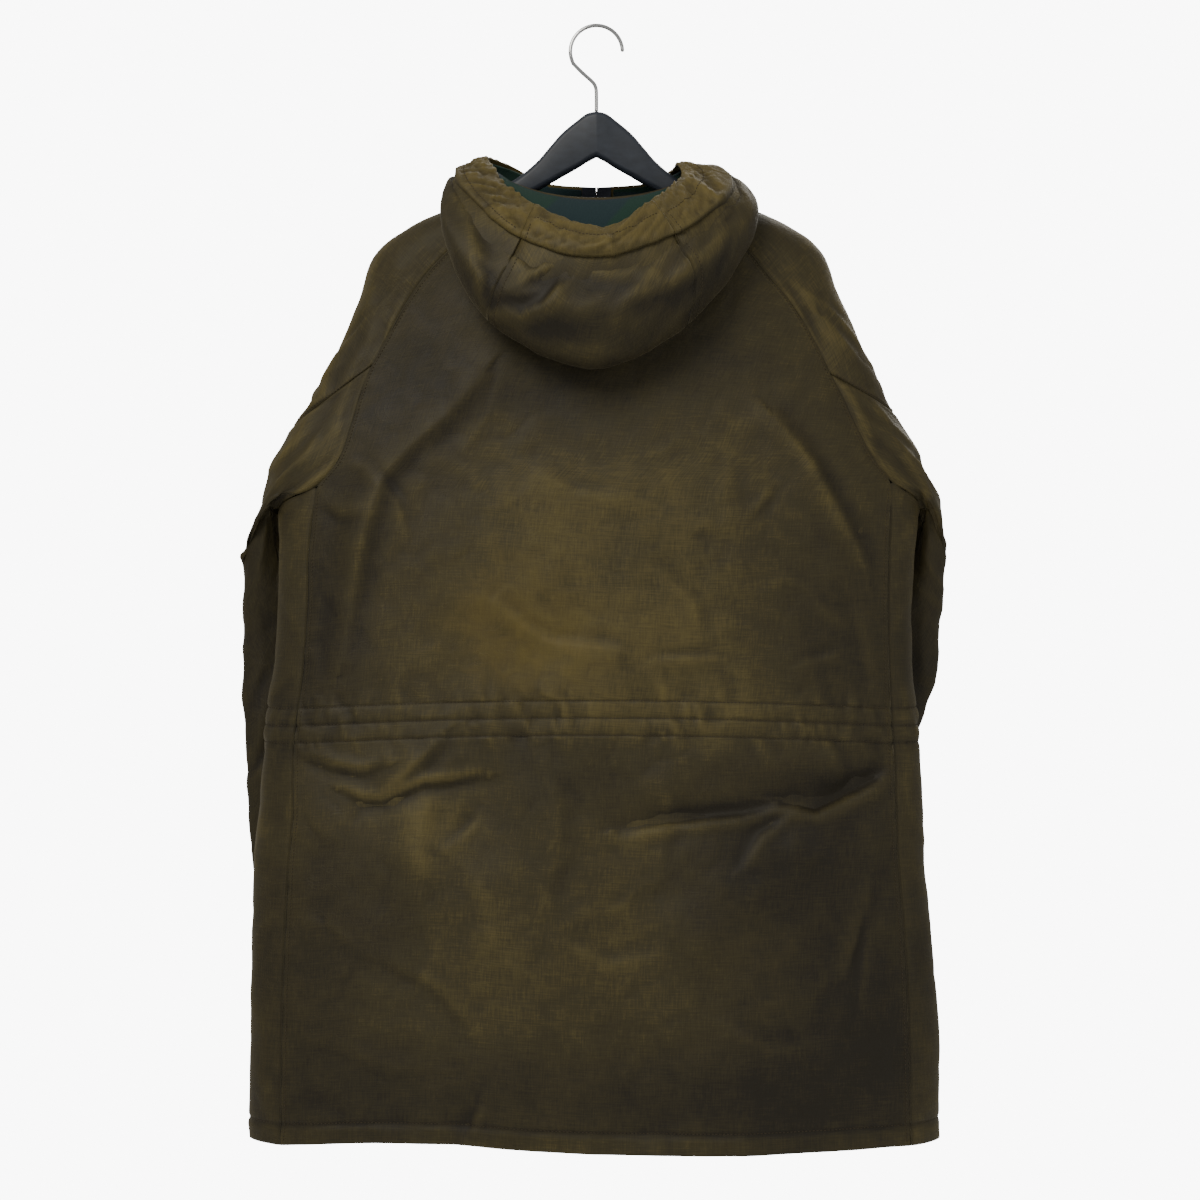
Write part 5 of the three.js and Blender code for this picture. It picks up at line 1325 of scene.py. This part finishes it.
# Zip
# A moulded two-way zip in dulled brass colour on woven tapes, closed to the chin, with a
# slider whose pull hangs from its bail.
TOOTH_PITCH = 3.1
zip_material, zip_tree = start_material("zip_metal")
tarnish = add_node(zip_tree, "ShaderNodeTexNoise", {"Scale": 420.0, "Detail": 5.0})
metal = add_node(zip_tree, "ShaderNodeMix", {
    0: tarnish.outputs["Fac"], 6: srgb(96, 74, 38), 7: srgb(176, 140, 78)}, data_type="RGBA")
scuffs = calculate(zip_tree, "MULTIPLY_ADD", tarnish.outputs["Fac"], 0.3, 0.22)
zip_bump = add_node(zip_tree, "ShaderNodeBump", {
    "Height": tarnish.outputs["Fac"], "Strength": 0.2, "Distance": 0.0001})
finish_material(zip_tree, Base_Color=metal.outputs[2], Metallic=1.0, Roughness=scuffs,
                Normal=zip_bump.outputs[0])

tape_material, tape_tree = start_material("zip_tape")
tape_place = add_node(tape_tree, "ShaderNodeTexCoord")
turned = add_node(tape_tree, "ShaderNodeMapping", {
    "Vector": tape_place.outputs["Object"], "Rotation": (math.pi / 2, 0, 0)})
rib = place_group(tape_tree, weave, Place=turned.outputs[0], Pitch=0.0012)
tape_tone = add_node(tape_tree, "ShaderNodeMix", {
    0: rib.outputs["Slub"], 6: srgb(30, 34, 44), 7: srgb(58, 64, 76)}, data_type="RGBA")
tape_bump = add_node(tape_tree, "ShaderNodeBump", {
    "Height": rib.outputs["Height"], "Strength": 0.5, "Distance": 0.0002})
finish_material(tape_tree, Base_Color=tape_tone.outputs[2], Roughness=0.85,
                Normal=tape_bump.outputs[0])
for node, material in (("zip_tape_left", tape_material), ("zip_tape_right", tape_material),
                       ("zip_slider", zip_material), ("zip_pull", zip_material)):
    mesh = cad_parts[node].data
    mesh.materials.clear()
    mesh.materials.append(material)

# One tooth, looking at its face. Columns: across from the centre, along
TOOTH = [(-0.35, -0.5), (0.75, -0.75), (2.5, -0.7), (2.5, 0.7), (0.75, 0.75), (-0.35, 0.5)]


def zip_depth(height):
    chin = mix(54, 58, smooth((height + 204) / 50))
    below = trunk_point(turn_at(0 * height, height, False), height)[..., 1]
    return np.where(height > -204, chin, below)


heights = np.arange(-1049, -146, TOOTH_PITCH / 2)
face_depth = zip_depth(heights) - (CLOTH / 2 + 0.8 + 0.5) + 0.9 + 2.6
tooth_points, tooth_faces = [], []
for n, (height, depth) in enumerate(zip(heights, face_depth)):
    side = 1 if n % 2 else -1
    base = len(tooth_points)
    for lift, grow in ((-2.5, 1.0), (-0.5, 1.0), (-0.05, 0.78)):
        for across, along in TOOTH:
            tooth_points.append((side * (1.1 + (across - 1.1) * grow), depth + lift,
                                 height + along * grow))
    for ring in (0, 6):
        for k in range(6):
            quad = [base + ring + k, base + ring + (k + 1) % 6, base + ring + 6 + (k + 1) % 6,
                    base + ring + 6 + k]
            tooth_faces.append(quad if side < 0 else quad[::-1])
    back_face_of = [base + k for k in range(6)]
    front_face_of = [base + 12 + k for k in range(6)]
    tooth_faces.append(back_face_of[::-1] if side < 0 else back_face_of)
    tooth_faces.append(front_face_of if side < 0 else front_face_of[::-1])
teeth = add_piece("zip_teeth_row", tooth_points, tooth_faces, zip_material, smoothly=False)
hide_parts("zip_teeth")

# Hanger
# A contoured coat hanger moulded in matte black plastic, creased where its two arms meet.
# A chromed wire hook turns in a hole at its top.
# Columns: across, top, bottom, depth, half thickness
HANGER = [
    (0, -80, -123.4, 0, 7), (9, -82, -128, 0.8, 7), (17, -87.5, -133, 1.6, 7),
    (32.5, -100, -141.5, 3, 7.5), (45, -114, -148.5, 4.2, 8), (57, -127.5, -155, 5.2, 8),
    (75, -142, -164, 6.6, 8.5), (100, -155.7, -176.9, 8.5, 9), (142, -179.6, -200.6, 12, 10.5),
    (175, -196.2, -218.7, 14.5, 11), (195, -209.4, -230.4, 16, 10.5),
    (206, -220.4, -235.4, 17, 9),
]
hanger_material, hanger_tree = start_material("hanger_plastic")
grain = add_node(hanger_tree, "ShaderNodeTexNoise", {"Scale": 700.0, "Detail": 3.0})
scuff = add_node(hanger_tree, "ShaderNodeTexNoise", {"Scale": 24.0, "Detail": 5.0})
black = add_node(hanger_tree, "ShaderNodeMix", {
    0: scuff.outputs["Fac"], 6: srgb(30, 34, 42), 7: srgb(54, 61, 74)}, data_type="RGBA")
hanger_bump = add_node(hanger_tree, "ShaderNodeBump", {
    "Height": grain.outputs["Fac"], "Strength": 0.3, "Distance": 0.0002})
finish_material(hanger_tree, Base_Color=black.outputs[2], Roughness=0.48,
                Normal=hanger_bump.outputs[0])

SECTION = 40
arm = np.array(HANGER, float)
places = spread(np.stack([arm[:, 0], arm[:, 1], 0 * arm[:, 0]], -1)[:, None], 0, 2.0)
arm = curve_weights(len(arm), places) @ arm
whole_arm = np.concatenate([arm[:0:-1] * [-1, 1, 1, 1, 1], arm])
rings = []
for across, top, bottom, depth, half in whole_arm:
    corner = min(half - 1, (top - bottom) / 2 - 1, 6.5)
    ring = []
    for n in range(SECTION):
        angle = math.tau * n / SECTION
        quarter = (math.copysign(1, math.cos(angle)), math.copysign(1, math.sin(angle)))
        middle = ((top + bottom) / 2 + quarter[1] * ((top - bottom) / 2 - corner),
                  depth + quarter[0] * (half - corner))
        ring.append((across, middle[1] + corner * math.cos(angle),
                     middle[0] + corner * math.sin(angle)))
    rings.append(ring)


for end in (0, -1):
    last_ring = np.array(rings[end])
    centre = last_ring.mean(0)
    caps = []
    for grow, out in ((0.93, 0.7), (0.75, 1.3), (0.4, 1.6)):
        cap = centre + (last_ring - centre) * grow
        cap[:, 0] += out if end else -out
        caps.append(cap)
    rings = [*caps[::-1], *rings] if end == 0 else [*rings, *caps]
hanger_points, hanger_faces = skin(rings)
hanger = add_piece("hanger", hanger_points, hanger_faces, hanger_material)
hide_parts("hanger_body")

chrome_material, chrome_tree = start_material("chrome")
draw_marks = add_node(chrome_tree, "ShaderNodeTexNoise", {"Scale": 160.0, "Detail": 3.0})
chrome_gloss = calculate(chrome_tree, "MULTIPLY_ADD", draw_marks.outputs["Fac"], 0.14, 0.08)
chrome_tone = add_node(chrome_tree, "ShaderNodeMix", {
    0: draw_marks.outputs["Fac"], 6: (0.52, 0.53, 0.55, 1), 7: (0.74, 0.75, 0.77, 1)},
    data_type="RGBA")
finish_material(chrome_tree, Base_Color=chrome_tone.outputs[2], Metallic=1.0,
                Roughness=chrome_gloss)

HOOK_WIRE = 1.8
HOOK_RADIUS = 24.7
hook_line = [(HOOK_RADIUS * math.cos(math.radians(3 + 205 * k / 40)),
              HOOK_WIRE - HOOK_RADIUS + HOOK_RADIUS * math.sin(math.radians(3 + 205 * k / 40)))
             for k in range(41)]
hook_line += [(-16, -40.6), (-10, -46.2), (-5, -50.6), (-1.8, -54.4), (-0.3, -59), (0, -66),
              (0, -79.6)]
hook_line = np.array(hook_line)
stops = spread(np.stack([hook_line[:, 0], hook_line[:, 1], 0 * hook_line[:, 0]], -1)[:, None],
               0, 1.2)
hook_line = curve_weights(len(hook_line), stops) @ hook_line
ahead = np.gradient(hook_line, axis=0)
ahead /= np.linalg.norm(ahead, axis=1, keepdims=True)
rings = []
for k, ((px, pz), (dx, dz)) in enumerate(zip(hook_line, ahead)):
    ring = []
    for n in range(20):
        angle = math.tau * n / 20
        ring.append((px + dz * HOOK_WIRE * math.cos(angle), HOOK_WIRE * math.sin(angle),
                     pz - dx * HOOK_WIRE * math.cos(angle)))
    rings.append(ring)
tip = np.array(rings[0])
centre = tip.mean(0)
start = -np.array([ahead[0][0], 0, ahead[0][1]])
rings = [(centre + (tip - centre) * grow + start * out).tolist()
         for grow, out in ((0.35, 1.7), (0.7, 1.3), (0.92, 0.7))] + rings
hook_points, hook_faces = skin(rings)
hook = add_piece("hook", hook_points, hook_faces, chrome_material)
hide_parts("hanger_hook")
